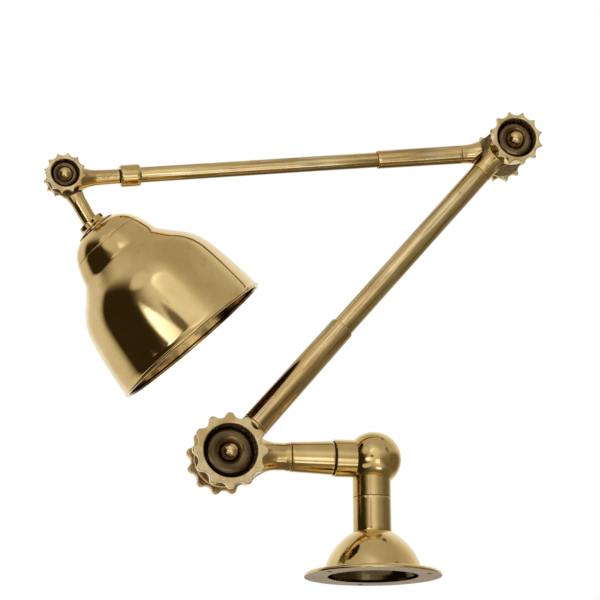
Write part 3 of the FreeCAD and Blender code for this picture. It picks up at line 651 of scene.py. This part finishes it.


# Drawn tubes get painted shade along their sides
DRAWN_TUBE = Brass(bright=shade_of(255, 234, 180), deep=shade_of(242, 210, 148), polish=0.07, dull=0.19,
                   wave_scale=26.0, wave_depth=0.00016, pit_depth=0.000001, scratch=0.000008, spots=0.3,
                   lengthwise=0.48, grain_angle=48.8, flank_shade=0.6)
FINISHES: dict[Look, Brass | Plain] = {
    Look.SHADE: Brass(polish=0.03, dull=0.085, wave_scale=16.0, wave_depth=0.00022, pit_depth=0.000004,
                      scratch=0.000003, crevice_shade=0.25),
    # The rose gets painted shade on its inward faces, inside the dome; its downward faces are darker, rougher
    # and less metallic
    Look.ROSE: Brass(tarnish_and_shade=shade_of(120, 94, 58), polish=0.06, dull=0.15, wave_scale=30.0,
                     wave_depth=0.0001, pit_depth=0.000006, under=0.8, inner_shade=0.9),
    # Inside of the lamp shade: broad bright and very dark patches that are painted reflections and painted
    # shade
    Look.INSIDE: Brass(bright=shade_of(240, 206, 136), deep=shade_of(92, 66, 30), tone_scale=46.0,
                       tarnish_and_shade=shade_of(54, 36, 14), polish=0.07, dull=0.16, wave_scale=36.0,
                       wave_depth=0.0009, spots=0.8),
    Look.LOWER_TUBE: DRAWN_TUBE,
    Look.UPPER_TUBE: replace(DRAWN_TUBE, wave_scale=30.0, grain_angle=6.7),
    Look.FITTING: Brass(bright=shade_of(240, 213, 152), deep=shade_of(224, 194, 130), polish=0.06,
                        dull=0.15, wave_scale=30.0, wave_depth=0.0001, pit_depth=0.000006),
    Look.CASTING: Brass(bright=shade_of(216, 188, 124), deep=shade_of(178, 146, 86), polish=0.16,
                        dull=0.36, wave_scale=75.0, wave_depth=0.0005, pit_scale=650.0,
                        pit_depth=0.00005, scratch=0.00002, crevice_shade=0.85, crevice_shade_reach=0.008),
    Look.DISH: Brass(bright=shade_of(142, 120, 86), deep=shade_of(94, 76, 52), tarnish_and_shade=shade_of(48, 34, 20),
                     polish=0.13, dull=0.26, wave_scale=90.0, wave_depth=0.0005, pit_depth=0.00001,
                     crevice_shade=0.7, spots=0.7),
    Look.BOLT: Brass(polish=0.12, dull=0.28, wave_scale=120.0, wave_depth=0.0002, pit_depth=0.00003),
    Look.HIDDEN: Brass(polish=0.2, dull=0.36),
    Look.FIBRE: Plain(shade_of(70, 44, 26), shade_of(48, 30, 18), 500.0, (0.7, 0.9), 0.00004),
    Look.RUBBER: Plain(shade_of(30, 22, 14), shade_of(18, 12, 8), 700.0, (0.5, 0.7), 0.00002),
    Look.CERAMIC: Plain(shade_of(226, 220, 206), shade_of(206, 198, 182), 60.0, (0.12, 0.22), 0.00002),
}


class Palette:
    """The made materials, one for each look."""

    def __init__(self) -> None:
        """Makes every finish."""
        self.made = {look: finish.make(look.value) for look, finish in FINISHES.items()}

    def dress(self, piece: bpy.types.Object, look: Look) -> None:
        """Gives a whole piece one finish.

        Args:
            piece: mesh object.
            look: the finish.
        """
        slots = piece.data.materials
        if not slots:
            slots.append(self.made[look])
        for index in range(len(slots)):
            slots[index] = self.made[look]


# Studio


@dataclass(frozen=True)
class Patch:
    """A soft-edged field of the room: its direction from the lamp, half-size, tone and softness.

    Azimuth 0 is behind the lamp, 90 to its right, 180 at the camera and 270 to its left.
    """

    azimuth: float
    elevation: float
    wide: float
    high: float
    tone: float
    edge: float
    squareness: float = 2.6

    def over(self, graph: Graph, ray: Socket, level: Socket) -> Socket:
        """Lays this patch over what is there.

        Args:
            graph: the world's node tree.
            ray: direction looked in.
            level: the tone so far.

        Returns:
            The new tone's socket.
        """
        azimuth, elevation = math.radians(self.azimuth), math.radians(self.elevation)
        ahead = Vector((math.sin(azimuth) * math.cos(elevation), math.cos(azimuth) * math.cos(elevation),
                        math.sin(elevation)))
        sideways = Vector((math.cos(azimuth), -math.sin(azimuth), 0))
        reached = []
        for axis, reach in ((sideways, self.wide), (sideways.cross(ahead), self.high)):
            share = graph.vector("DOT_PRODUCT", ray, axis / math.sin(math.radians(reach)))
            reached.append(graph.number("POWER", graph.number("ABSOLUTE", share), self.squareness))
        mask = graph.span(graph.number("ADD", *reached), (1 - self.edge, 1 + self.edge), 1.0, 0.0)
        this_side = graph.number("GREATER_THAN", graph.vector("DOT_PRODUCT", ray, ahead), 0.0)
        return graph.blend(graph.number("MULTIPLY", mask, this_side), level, self.tone, "FLOAT")


PATCHES: tuple[Patch, ...] = (
    Patch(270, -13, 49, 43, 0.03, 0.55),
    Patch(189, 26, 15, 11.5, 2.9, 0.80),
    Patch(212.5, -8, 14.6, 7.2, 1.8, 0.65),
    Patch(174, 7, 35, 48, 0.78, 0.95),
    Patch(107, -7, 58, 27, 0.17, 0.68),
    Patch(227, -33, 19.7, 8.4, 0.68, 0.30),
    Patch(142, 74, 27.6, 59, 0.46, 0.86),
    Patch(314.6, -1.5, 21.8, 33, 0.69, 0.95),
    Patch(200, 4, 6.7, 5, 0.15, 0.90),
    Patch(166, -27, 3.4, 7.6, 1.0, 0.90),
    Patch(175, -18.6, 9.7, 9.6, 1.3, 0.50),
    Patch(228, 28, 12.8, 13.2, 0.62, 0.88),
    Patch(129, 28.5, 7.2, 9.8, 0.22, 0.45),
    Patch(165, -46, 12, 5, 1.4, 0.50),
)


@dataclass
class Studio:
    """Camera, floor, world and lamps, set as the photograph was taken."""

    azimuth: float = -11.8
    elevation: float = -13.9
    roll: float = -0.55
    lens: float = 156.0
    sensor: float = 36.0
    distance: float = 2.340
    aim: tuple[float, float, float] = (-0.0635, 0.0, 0.2487)
    floor_height: float = -0.62
    floor_size: float = 12.0
    front_to_back: Band = (-0.17, 0.78)
    front_tone: float = 0.49
    back_tone: float = 0.92
    below: Band = (-0.68, -0.28)
    below_tone: float = 0.16
    warmth: tuple[float, float, float] = (1.0, 1.10, 1.35)
    lit_point: tuple[float, float, float] = (-0.06, 0, 0.25)

    def build(self) -> None:
        """Sets up everything round the lamp."""
        self.camera()
        self.floor()
        self.world()
        self.lamps()
        bpy.context.scene.view_settings.view_transform = "Standard"

    def camera(self) -> None:
        """Places the camera below and left of the lamp, looking up."""
        azimuth, elevation, roll = map(math.radians, (self.azimuth, self.elevation, self.roll))
        forward = Vector((-math.sin(azimuth) * math.cos(elevation),
                          math.cos(azimuth) * math.cos(elevation), -math.sin(elevation)))
        level = Vector((math.cos(azimuth), math.sin(azimuth), 0))
        above = level.cross(forward)
        right = level * math.cos(roll) + above * math.sin(roll)
        up = above * math.cos(roll) - level * math.sin(roll)
        place = Vector(self.aim) - forward * self.distance
        data = bpy.data.cameras.new("camera")
        data.lens = self.lens
        data.sensor_width = self.sensor
        camera = bpy.data.objects.new("camera", data)
        bpy.context.scene.collection.objects.link(camera)
        camera.matrix_world = Matrix.Translation(place) @ Matrix((right, up, -forward)).transposed().to_4x4()
        bpy.context.scene.camera = camera

    def floor(self) -> None:
        """Lays a plain pale floor under the camera."""
        bpy.ops.mesh.primitive_plane_add(size=self.floor_size, location=(0, 0, self.floor_height))
        plane = bpy.context.object
        plane.name = "floor"
        recipe = Recipe("floor_pale")
        tone = recipe.span(recipe.noise(Noise(3.0, 2.0)), WIDE_BAND)
        recipe.put(recipe.blend(tone, shade_of(250, 250, 252), shade_of(245, 246, 249)),
                   recipe.shader["Base Color"])
        recipe.put(0.9, recipe.shader["Roughness"])
        plane.data.materials.append(recipe.material)
        plane.visible_glossy = False

    def world(self) -> None:
        """A white room for the camera, with dark and bright fields that the brass mirrors."""
        world = bpy.data.worlds.new("room")
        bpy.context.scene.world = world
        world.use_nodes = True
        graph = Graph(world.node_tree)
        ray = graph.place.outputs["Generated"]
        level = self.room_tone(graph, ray)
        for patch in PATCHES:
            level = patch.over(graph, ray, level)
        channels = (graph.number("POWER", level, power) for power in self.warmth)
        warm = graph.node("ShaderNodeCombineColor", dict(enumerate(channels))).outputs[0]
        room, white = (graph.node("ShaderNodeBackground", {"Color": tint}).outputs[0] for tint in (warm, WHITE))
        camera_ray = graph.node("ShaderNodeLightPath").outputs["Is Camera Ray"]
        mixed = graph.node("ShaderNodeMixShader", {0: camera_ray, 1: room, 2: white})
        graph.node("ShaderNodeOutputWorld", {"Surface": mixed.outputs[0]})

    def room_tone(self, graph: Graph, ray: Socket) -> Socket:
        """The room's plain tone: bright behind the lamp, softer in front and dim below.

        Args:
            graph: the world's node tree.
            ray: direction looked in.

        Returns:
            The tone's socket.
        """
        split = graph.node("ShaderNodeSeparateXYZ", {0: ray})
        tone = graph.span(split.outputs["Y"], self.front_to_back, self.front_tone, self.back_tone)
        low = graph.span(split.outputs["Z"], self.below, 1.0, 0.0)
        return graph.blend(low, tone, self.below_tone, "FLOAT")

    def lamps(self) -> None:
        """Two broad soft lamps, which give shading and the floor's shadow but aren't mirrored."""
        for name, place, size, power in (("soft_front", (-1.6, -2.2, 1.6), 1.6, 34.0),
                                         ("soft_top", (0.6, 0.4, 2.4), 2.0, 70.0)):
            data = bpy.data.lights.new(name, "AREA")
            data.size = size
            data.energy = power
            lamp = bpy.data.objects.new(name, data)
            bpy.context.scene.collection.objects.link(lamp)
            lamp.location = place
            lamp.rotation_euler = (Vector(self.lit_point) - Vector(place)).to_track_quat("-Z", "Y").to_euler()
            lamp.visible_glossy = False
            lamp.visible_camera = False


# Making pieces


def pick(piece: bpy.types.Object) -> None:
    """Makes a piece the only selected and the active one.

    Args:
        piece: the piece to pick.
    """
    bpy.ops.object.select_all(action="DESELECT")
    piece.select_set(True)
    bpy.context.view_layer.objects.active = piece


def finish_with(piece: bpy.types.Object, kind: str, **settings: float | int | str | bool) -> None:
    """Adds a modifier to a piece and applies it.

    Args:
        piece: the piece.
        kind: the modifier's type.
        settings: its settings by name.
    """
    pick(piece)
    modifier = piece.modifiers.new(kind.lower(), kind)
    for name, value in settings.items():
        setattr(modifier, name, value)
    bpy.ops.object.modifier_apply(modifier=modifier.name)


def bow(start: Point, end: Point, radius: float, steps: int) -> Profile:
    """Stations on an arc from one point of an outline to another.

    Args:
        start: first point, which the result leaves out.
        end: last point.
        radius: radius of the arc; a positive one bends away from the axis.
        steps: number of stations.

    Returns:
        The stations up to the end point.
    """
    first, last = Vector(start), Vector(end)
    chord = last - first
    away = Vector((-chord.y, chord.x)).normalized()
    if away.y < 0:
        away = -away
    rise = math.sqrt(max(radius * radius - chord.length_squared / 4, 0))
    centre = (first + last) / 2 - away * math.copysign(rise, radius)
    spoke, final = first - centre, last - centre
    swing = math.atan2(spoke.x * final.y - spoke.y * final.x, spoke.dot(final))
    places = (centre + Matrix.Rotation(swing * step / steps, 2) @ spoke for step in range(1, steps + 1))
    return [(place.x, place.y) for place in places]


def bead(along: float, radius: float, thick: float, start: float, end: float, steps: int) -> Profile:
    """Stations round a rolled bead.

    Args:
        along: place of the bead's centre along the axis.
        radius: distance of its centre from the axis.
        thick: radius of the bead itself.
        start: angle of the first station in degrees.
        end: angle of the last station.
        steps: number of steps.

    Returns:
        The stations.
    """
    angles = (math.radians(start + (end - start) * step / steps) for step in range(steps + 1))
    return [(along + thick * math.cos(angle), radius + thick * math.sin(angle)) for angle in angles]


def tapered(stations: tuple[float, ...], wide: float, narrow: float) -> Profile:
    """The outer side of a straight taper, to a hundredth of a millimetre.

    Args:
        stations: places along the axis.
        wide: radius at the first.
        narrow: radius at the last.

    Returns:
        The side's points.
    """
    start, length = stations[0], stations[-1] - stations[0]
    return [(along, round(wide + (narrow - wide) * (along - start) / length, 2)) for along in stations]


@dataclass(frozen=True)
class Axis:
    """The line that a piece is turned about: a point in millimetres and an angle in the arms' plane."""

    x: float
    z: float
    angle: float

    @property
    def direction(self) -> Vector:
        """Unit vector along the line."""
        angle = math.radians(self.angle)
        return Vector((math.cos(angle), 0, math.sin(angle)))

    def at(self, along: float) -> Vector:
        """A point of the line.

        Args:
            along: distance along it in millimetres.

        Returns:
            The point in metres.
        """
        return (Vector((self.x, 0, self.z)) + self.direction * along) * MM

    def raised(self, across: float) -> "Axis":
        """The line shifted across itself.

        Args:
            across: distance to its upper side.

        Returns:
            The new line.
        """
        angle = math.radians(self.angle)
        return Axis(self.x - across * math.sin(angle), self.z + across * math.cos(angle), self.angle)


@dataclass
class Turned:
    """A turned piece: a ring that is extruded and scaled from station to station of its outline."""

    name: str
    node: str
    body: str
    look: Look
    axis: Axis
    outline: Profile
    edge: float
    steps: int = 96
    inside: Look | None = None
    slot: str = "polished_brass"
    merge: float = 0.01
    edge_angle: float = 38.0
    smooth_angle: float = 34.0
    inner_cosine: float = -0.2

    def build(self, palette: Palette) -> None:
        """Models the piece, rounds its edges, dresses it and sets it in its node's place.

        Args:
            palette: the made finishes.
        """
        piece = self.turn()
        if self.edge:
            finish_with(piece, "BEVEL", width=self.edge * MM, segments=3, limit_method="ANGLE",
                        angle_limit=math.radians(self.edge_angle), harden_normals=False)
        pick(piece)
        bpy.ops.object.shade_smooth_by_angle(angle=math.radians(self.smooth_angle))
        piece.data.materials.append(palette.made[self.look])
        if self.inside is not None:
            self.line(piece, palette.made[self.inside])
        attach(piece, self.body)
        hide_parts(self.node)
        LOG.info("%s stands for %s", self.name, self.node)

    def turn(self) -> bpy.types.Object:
        """Models the outline in edit mode, ring by ring.

        Returns:
            The turned piece.
        """
        along, radius = self.outline[0]
        tilt = self.axis.direction.to_track_quat("Z", "Y").to_euler()
        bpy.ops.mesh.primitive_circle_add(vertices=self.steps, radius=radius * MM,
                                          location=self.axis.at(along), rotation=tilt)
        piece = bpy.context.object
        piece.name = self.name
        bpy.ops.object.mode_set(mode="EDIT")
        bpy.ops.mesh.select_all(action="SELECT")
        for next_along, next_radius in self.outline[1:]:
            step = self.axis.direction * (next_along - along) * MM
            bpy.ops.mesh.extrude_region_move(TRANSFORM_OT_translate={"value": step})
            scale = next_radius / radius
            bpy.ops.transform.resize(value=(scale, scale, scale), center_override=self.axis.at(next_along))
            along, radius = next_along, next_radius
        bpy.ops.mesh.select_all(action="SELECT")
        bpy.ops.mesh.remove_doubles(threshold=self.merge * MM)
        bpy.ops.mesh.normals_make_consistent(inside=False)
        bpy.ops.object.mode_set(mode="OBJECT")
        bpy.ops.object.transform_apply(location=True, rotation=True, scale=True)
        return piece

    def line(self, piece: bpy.types.Object, material: bpy.types.Material) -> None:
        """Gives the faces that look towards the axis a second finish.

        Args:
            piece: the turned piece.
            material: the finish of its inner faces.
        """
        piece.data.materials.append(material)
        for face in piece.data.polygons:
            spoke = face.center - self.axis.at(0)
            spoke -= self.axis.direction * spoke.dot(self.axis.direction)
            if face.normal.dot(spoke.normalized()) < self.inner_cosine:
                face.material_index = 1


# The lamp's sub-assemblies, in millimetres as in the source

KNUCKLE_1: Point = (-131.5, 105.0)
KNUCKLE_2: Point = (134.6, 402.739)
KNUCKLE_3: Point = (-278.057, 353.356)


@dataclass
class Casting:
    """One toothed casting of a knuckle, copied from its node and given worn, rounded edges."""

    node: str
    body: str
    finish: CastBrass
    voxel: float = 0.5
    wear: int = 5
    lumps: float = 0.10
    lump_size: float = 9.0
    merge: float = 0.005

    def build(self, nodes: Nodes) -> None:
        """Copies the node, rounds its edges, works its skin and dresses it.

        Args:
            nodes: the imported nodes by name.
        """
        piece = bpy.data.objects.new(self.node + "_cast", nodes[self.node].data.copy())
        bpy.context.scene.collection.objects.link(piece)
        pick(piece)
        bpy.ops.mesh.customdata_custom_splitnormals_clear()
        bpy.ops.object.mode_set(mode="EDIT")
        bpy.ops.mesh.select_all(action="SELECT")
        bpy.ops.mesh.remove_doubles(threshold=self.merge * MM)
        bpy.ops.object.mode_set(mode="OBJECT")
        finish_with(piece, "REMESH", mode="VOXEL", voxel_size=self.voxel * MM, adaptivity=0.0)
        finish_with(piece, "SMOOTH", factor=0.5, iterations=self.wear)
        skin = bpy.data.textures.new(self.node + "_skin", "CLOUDS")
        skin.noise_scale = self.lump_size * MM
        skin.noise_depth = 2
        finish_with(piece, "DISPLACE", texture=skin, texture_coords="LOCAL", strength=self.lumps * MM,
                    mid_level=0.5)
        pick(piece)
        bpy.ops.object.shade_smooth()
        piece.data.materials.clear()
        piece.data.materials.append(self.finish.make(self.node + "_brass"))
        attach(piece, self.body)
        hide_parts(self.node)
        LOG.info("%s is worn and dressed, %d faces", piece.name, len(piece.data.polygons))


FRONT, BACK = -1, 1
CASTINGS: tuple[Casting, ...] = (
    Casting("knuckle_1_front", "short_arm", CastBrass(KNUCKLE_1, FRONT, 23.9, 33.8, 16.0, 18.4)),
    Casting("knuckle_1_back", "lower_arm", CastBrass(KNUCKLE_1, BACK, 21.8, 32.2, 16.6, 19.0)),
    Casting("knuckle_2_front", "lower_arm", CastBrass(KNUCKLE_2, FRONT, 18.2, 25.3, 24.4, 26.0), 0.45),
    Casting("knuckle_2_back", "upper_arm", CastBrass(KNUCKLE_2, BACK, 18.0, 25.0, 24.4, 26.0), 0.45),
    Casting("knuckle_3_front", "shade_knuckle", CastBrass(KNUCKLE_3, FRONT, 12.6, 18.8, 7.9, 9.3), 0.36, 4),
    Casting("knuckle_3_back", "shade", CastBrass(KNUCKLE_3, BACK, 11.4, 17.0, 7.2, 8.6), 0.36, 4),
)


@dataclass
class Stand:
    """The post on the wall rose and the tapered sleeve of the short arm."""

    post_radius: float = 17.0
    post_bore: float = 11.5
    post_foot: float = 39.4
    post_top: float = 70.0
    post_floor: float = 8.0
    post_ring: float = 3.0
    spigot: float = 4.6
    spigot_radius: float = 13.45
    nipple_hole: float = 6.6
    elbow_height: float = 105.0
    sleeve_stations: tuple[float, ...] = (35.6, 38.0, 71.0, 73.8)
    sleeve_wide: float = 15.2
    sleeve_narrow: float = 13.4
    sleeve_bore: float = 10.8
    sleeve_floor: float = 8.0

    def build(self, palette: Palette) -> None:
        """Turns the post and the sleeve.

        Args:
            palette: the made finishes.
        """
        foot, top, wall, hole = self.post_foot, self.post_top, self.post_radius, self.nipple_hole
        below, floor = foot - self.spigot, top - self.post_floor
        Turned("post_turned", "post", "base", Look.FITTING, Axis(0, 0, 90), [
            (below, self.post_bore), (below, self.spigot_radius), (foot, self.spigot_radius), (foot, wall),
            (foot + self.post_ring, wall), (top - self.post_ring, wall), (top, wall), (top, hole),
            (floor, hole), (floor, self.post_bore), (below, self.post_bore),
        ], edge=0.3).build(palette)
        start, end = self.sleeve_stations[0], self.sleeve_stations[-1]
        floor = start + self.sleeve_floor
        side = tapered(self.sleeve_stations, self.sleeve_wide, self.sleeve_narrow)
        Turned("short_sleeve_turned", "short_arm_sleeve", "short_arm", Look.FITTING,
               Axis(0, self.elbow_height, 180),
               [(start, hole), *side, (end, self.sleeve_bore), (floor, self.sleeve_bore), (floor, hole),
                (start, hole)], edge=0.55).build(palette)


# Stations along the arm, radius at the first and at the last, bore and rounded edge
PIPES: dict[tuple[str, str], tuple[tuple[float, ...], float, float, float, float]] = {
    ("lower", "sleeve"): ((38, 41, 80, 120, 157, 160), 12.5, 11.4, 9.85, 0.6),
    ("lower", "tube"): ((140, 200, 260, 320, 361.3), 9.8, 9.8, 8.3, 0.3),
    ("upper", "sleeve"): ((46, 49, 86, 123, 126), 8.6, 8.3, 7.0, 0.45),
    ("upper", "tube"): ((106, 170, 240, 300, 354.6), 6.95, 6.95, 5.45, 0.3),
}


@dataclass
class Arms:
    """Sleeves and tubes of the two long arms, and the barrel at the tip."""

    lower: Axis = Axis(*KNUCKLE_1, 48.8).raised(-1.4)
    upper: Axis = Axis(*KNUCKLE_2, 186.7).raised(3.8)
    tip: Axis = Axis(*KNUCKLE_3, 6.7).raised(-2.9)
    barrel_start: float = 50.5
    barrel_end: float = 69.0
    barrel_lip: float = 8.7
    barrel_crown: float = 10.0
    barrel_shoulder: float = 2.08
    barrel_bulge: float = 2.9
    barrel_belly: Band = (55.0, 64.5)
    barrel_hole: float = 4.1
    barrel_floor: float = 54.5
    barrel_bore: float = 6.65
    tube_socket: float = 7.0
    socket_floor: float = 61.0

    def build(self, palette: Palette) -> None:
        """Turns the five pieces.

        Args:
            palette: the made finishes.
        """
        looks = {"lower": (Look.LOWER_TUBE, self.lower), "upper": (Look.UPPER_TUBE, self.upper)}
        for (arm, kind), (stations, wide, narrow, bore, edge) in PIPES.items():
            start, end = stations[0], stations[-1]
            outline = [(start, bore), *tapered(stations, wide, narrow), (end, bore), (start, bore)]
            Turned(f"{arm}_{kind}_turned", f"{arm}_arm_{kind}", f"{arm}_arm", *looks[arm], outline,
                   edge).build(palette)
        Turned("tip_ferrule_turned", "tip_ferrule", "upper_arm", Look.FITTING, self.tip, self.barrel(),
               edge=0.2).build(palette)

    def barrel(self) -> Profile:
        """The ferrule's outline: a barrel with rounded shoulders, a floor and a stepped bore.

        Returns:
            The stations.
        """
        start, end, lip, crown = self.barrel_start, self.barrel_end, self.barrel_lip, self.barrel_crown
        rise, fall = (start + self.barrel_shoulder, crown), (end - self.barrel_shoulder, crown)
        line = [(start, self.barrel_hole), (start, lip)] + bow((start, lip), rise, self.barrel_bulge, steps=5)
        line += [(along, crown) for along in self.barrel_belly] + [fall]
        line += bow(fall, (end, lip), self.barrel_bulge, steps=5)
        line += [(end, self.tube_socket), (self.socket_floor, self.tube_socket)]
        line += [(self.socket_floor, self.barrel_bore), (self.barrel_floor, self.barrel_bore)]
        return line + [(self.barrel_floor, self.barrel_hole), (start, self.barrel_hole)]


@dataclass
class Shade:
    """Spun cap and bell of the shade, with the bell's rolled rim."""

    axis: Axis = Axis(-254.023, 313.199, -48.8)
    wall: float = 1.6
    top: float = 8.6
    collar_hole: float = 5.05
    crown_radius: float = 18.2
    crown_edge: float = 0.5
    cap_bow: float = 27.0
    cap_radius: float = 34.2
    seam: float = 24.4
    seam_radius: float = 34.5
    seam_bead: float = 0.45
    shoulder: Point = (40.14, 40.09)
    waist: Point = (45.22, 42.74)
    flare: Point = (51.4, 48.16)
    hip: Point = (56.6, 52.72)
    flank: Point = (85.0, 68.8)
    brim_radius: float = 76.15
    shoulder_bow: float = 110.0
    waist_bow: float = -12.0
    hip_bow: float = 56.0
    flank_bow: float = 400.0
    mouth: float = 76.3
    end: float = 139.8
    rim: float = 1.8

    def side(self, inset: float) -> Profile:
        """The bell's flowing side from the seam to the mouth.

        Args:
            inset: distance in from the outer face.

        Returns:
            The stations.
        """
        shoulder, waist, flare, hip, flank, brim = (
            (along, radius - inset) for along, radius in (
                self.shoulder, self.waist, self.flare, self.hip, self.flank,
                (self.end - self.rim, self.brim_radius)))
        first = (self.seam, self.seam_radius - inset)
        line = [first] + bow(first, shoulder, self.shoulder_bow, steps=8)
        line += bow(line[-1], waist, self.waist_bow, steps=6) + [flare]
        return line + bow(hip, flank, self.hip_bow, steps=14) + bow(flank, brim, self.flank_bow, steps=12)

    def cap(self) -> Profile:
        """The cap's outline, out over its crown and back inside it.

        Returns:
            The stations.
        """
        top, hole, wall = self.top, self.collar_hole, self.wall
        crown = (top + self.crown_edge, self.crown_radius + self.crown_edge)
        inner, inner_crown = (self.seam, self.cap_radius - wall), (top + wall, crown[1] - wall)
        line = [(top, hole), (top, self.crown_radius), crown]
        line += bow(crown, (self.seam, self.cap_radius), self.cap_bow, steps=16) + [inner]
        line += bow(inner, inner_crown, self.cap_bow - wall, steps=16)
        return line + [(top + wall, hole), (top, hole)]

    def bell(self) -> Profile:
        """The bell's outline, from its seam round the rolled rim and back inside.

        Returns:
            The stations.
        """
        lip = bead(self.seam + self.seam_bead, self.seam_radius, self.seam_bead, 180, 20, steps=6)
        rolled = bead(self.end, self.mouth - self.wall / 2, self.rim, 155, -158, steps=20)
        return lip + self.side(0)[1:] + rolled + self.side(self.wall)[::-1] + [lip[0]]

    def build(self, palette: Palette) -> None:
        """Turns the cap and the bell.

        Args:
            palette: the made finishes.
        """
        Turned("shade_cap_spun", "shade_cap", "shade", Look.SHADE, self.axis, self.cap(), 0.12, 160,
               Look.INSIDE).build(palette)
        Turned("shade_bell_spun", "shade_bell", "shade", Look.SHADE, self.axis, self.bell(), 0.0, 192,
               Look.INSIDE).build(palette)


# The lamp


def each(owners: tuple[str, ...], *parts: str) -> tuple[str, ...]:
    """Names of the same nodes in several places.

    Args:
        owners: the places.
        parts: what the nodes are called in each.

    Returns:
        The node names.
    """
    return tuple(f"{owner}_{part}" for owner in owners for part in parts)


KNUCKLES = ("knuckle_1", "knuckle_2", "knuckle_3")
NODE_LOOKS: dict[Look, tuple[str, ...]] = {
    Look.ROSE: ("wall_rose",),
    Look.FITTING: ("post", "ball_elbow", "short_arm_sleeve", "tip_ferrule", "shade_collar"),
    Look.LOWER_TUBE: each(("lower_arm",), "sleeve", "tube"),
    Look.UPPER_TUBE: each(("upper_arm",), "sleeve", "tube"),
    Look.SHADE: each(("shade",), "cap", "bell"),
    Look.CASTING: each(KNUCKLES, "front", "back"),
    Look.DISH: each(KNUCKLES, "front_washer", "back_washer"),
    Look.BOLT: each(KNUCKLES, "bolt", "nut"),
    Look.HIDDEN: (*each(("swivel", "twist", "tip"), "nipple", "washer", "locknut"),
                  *each(("lampholder",), "nipple", "locknut", "cap", "skirt", "plungers", "ring")),
    Look.FIBRE: each(KNUCKLES, "friction_disc"),
    Look.RUBBER: each(("twist", "tip"), "seal"),
    Look.CERAMIC: ("lampholder_insulator",),
}


def dress_nodes(nodes: Nodes, palette: Palette) -> None:
    """Gives every node of the source its finish.

    Args:
        nodes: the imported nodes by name.
        palette: the made finishes.
    """
    for look, names in NODE_LOOKS.items():
        for name in names:
            palette.dress(nodes[name], look)
            LOG.info("%s has the finish %s", name, look.value)


def main() -> None:
    """Builds the lamp and its studio."""
    logging.basicConfig(level=logging.INFO, format="%(name)s: %(message)s")
    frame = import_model()
    palette = Palette()
    dress_nodes(frame["nodes"], palette)
    for casting in CASTINGS:
        casting.build(frame["nodes"])
    Stand().build(palette)
    Arms().build(palette)
    Shade().build(palette)
    Studio().build()


if __name__ == "__main__":
    main()
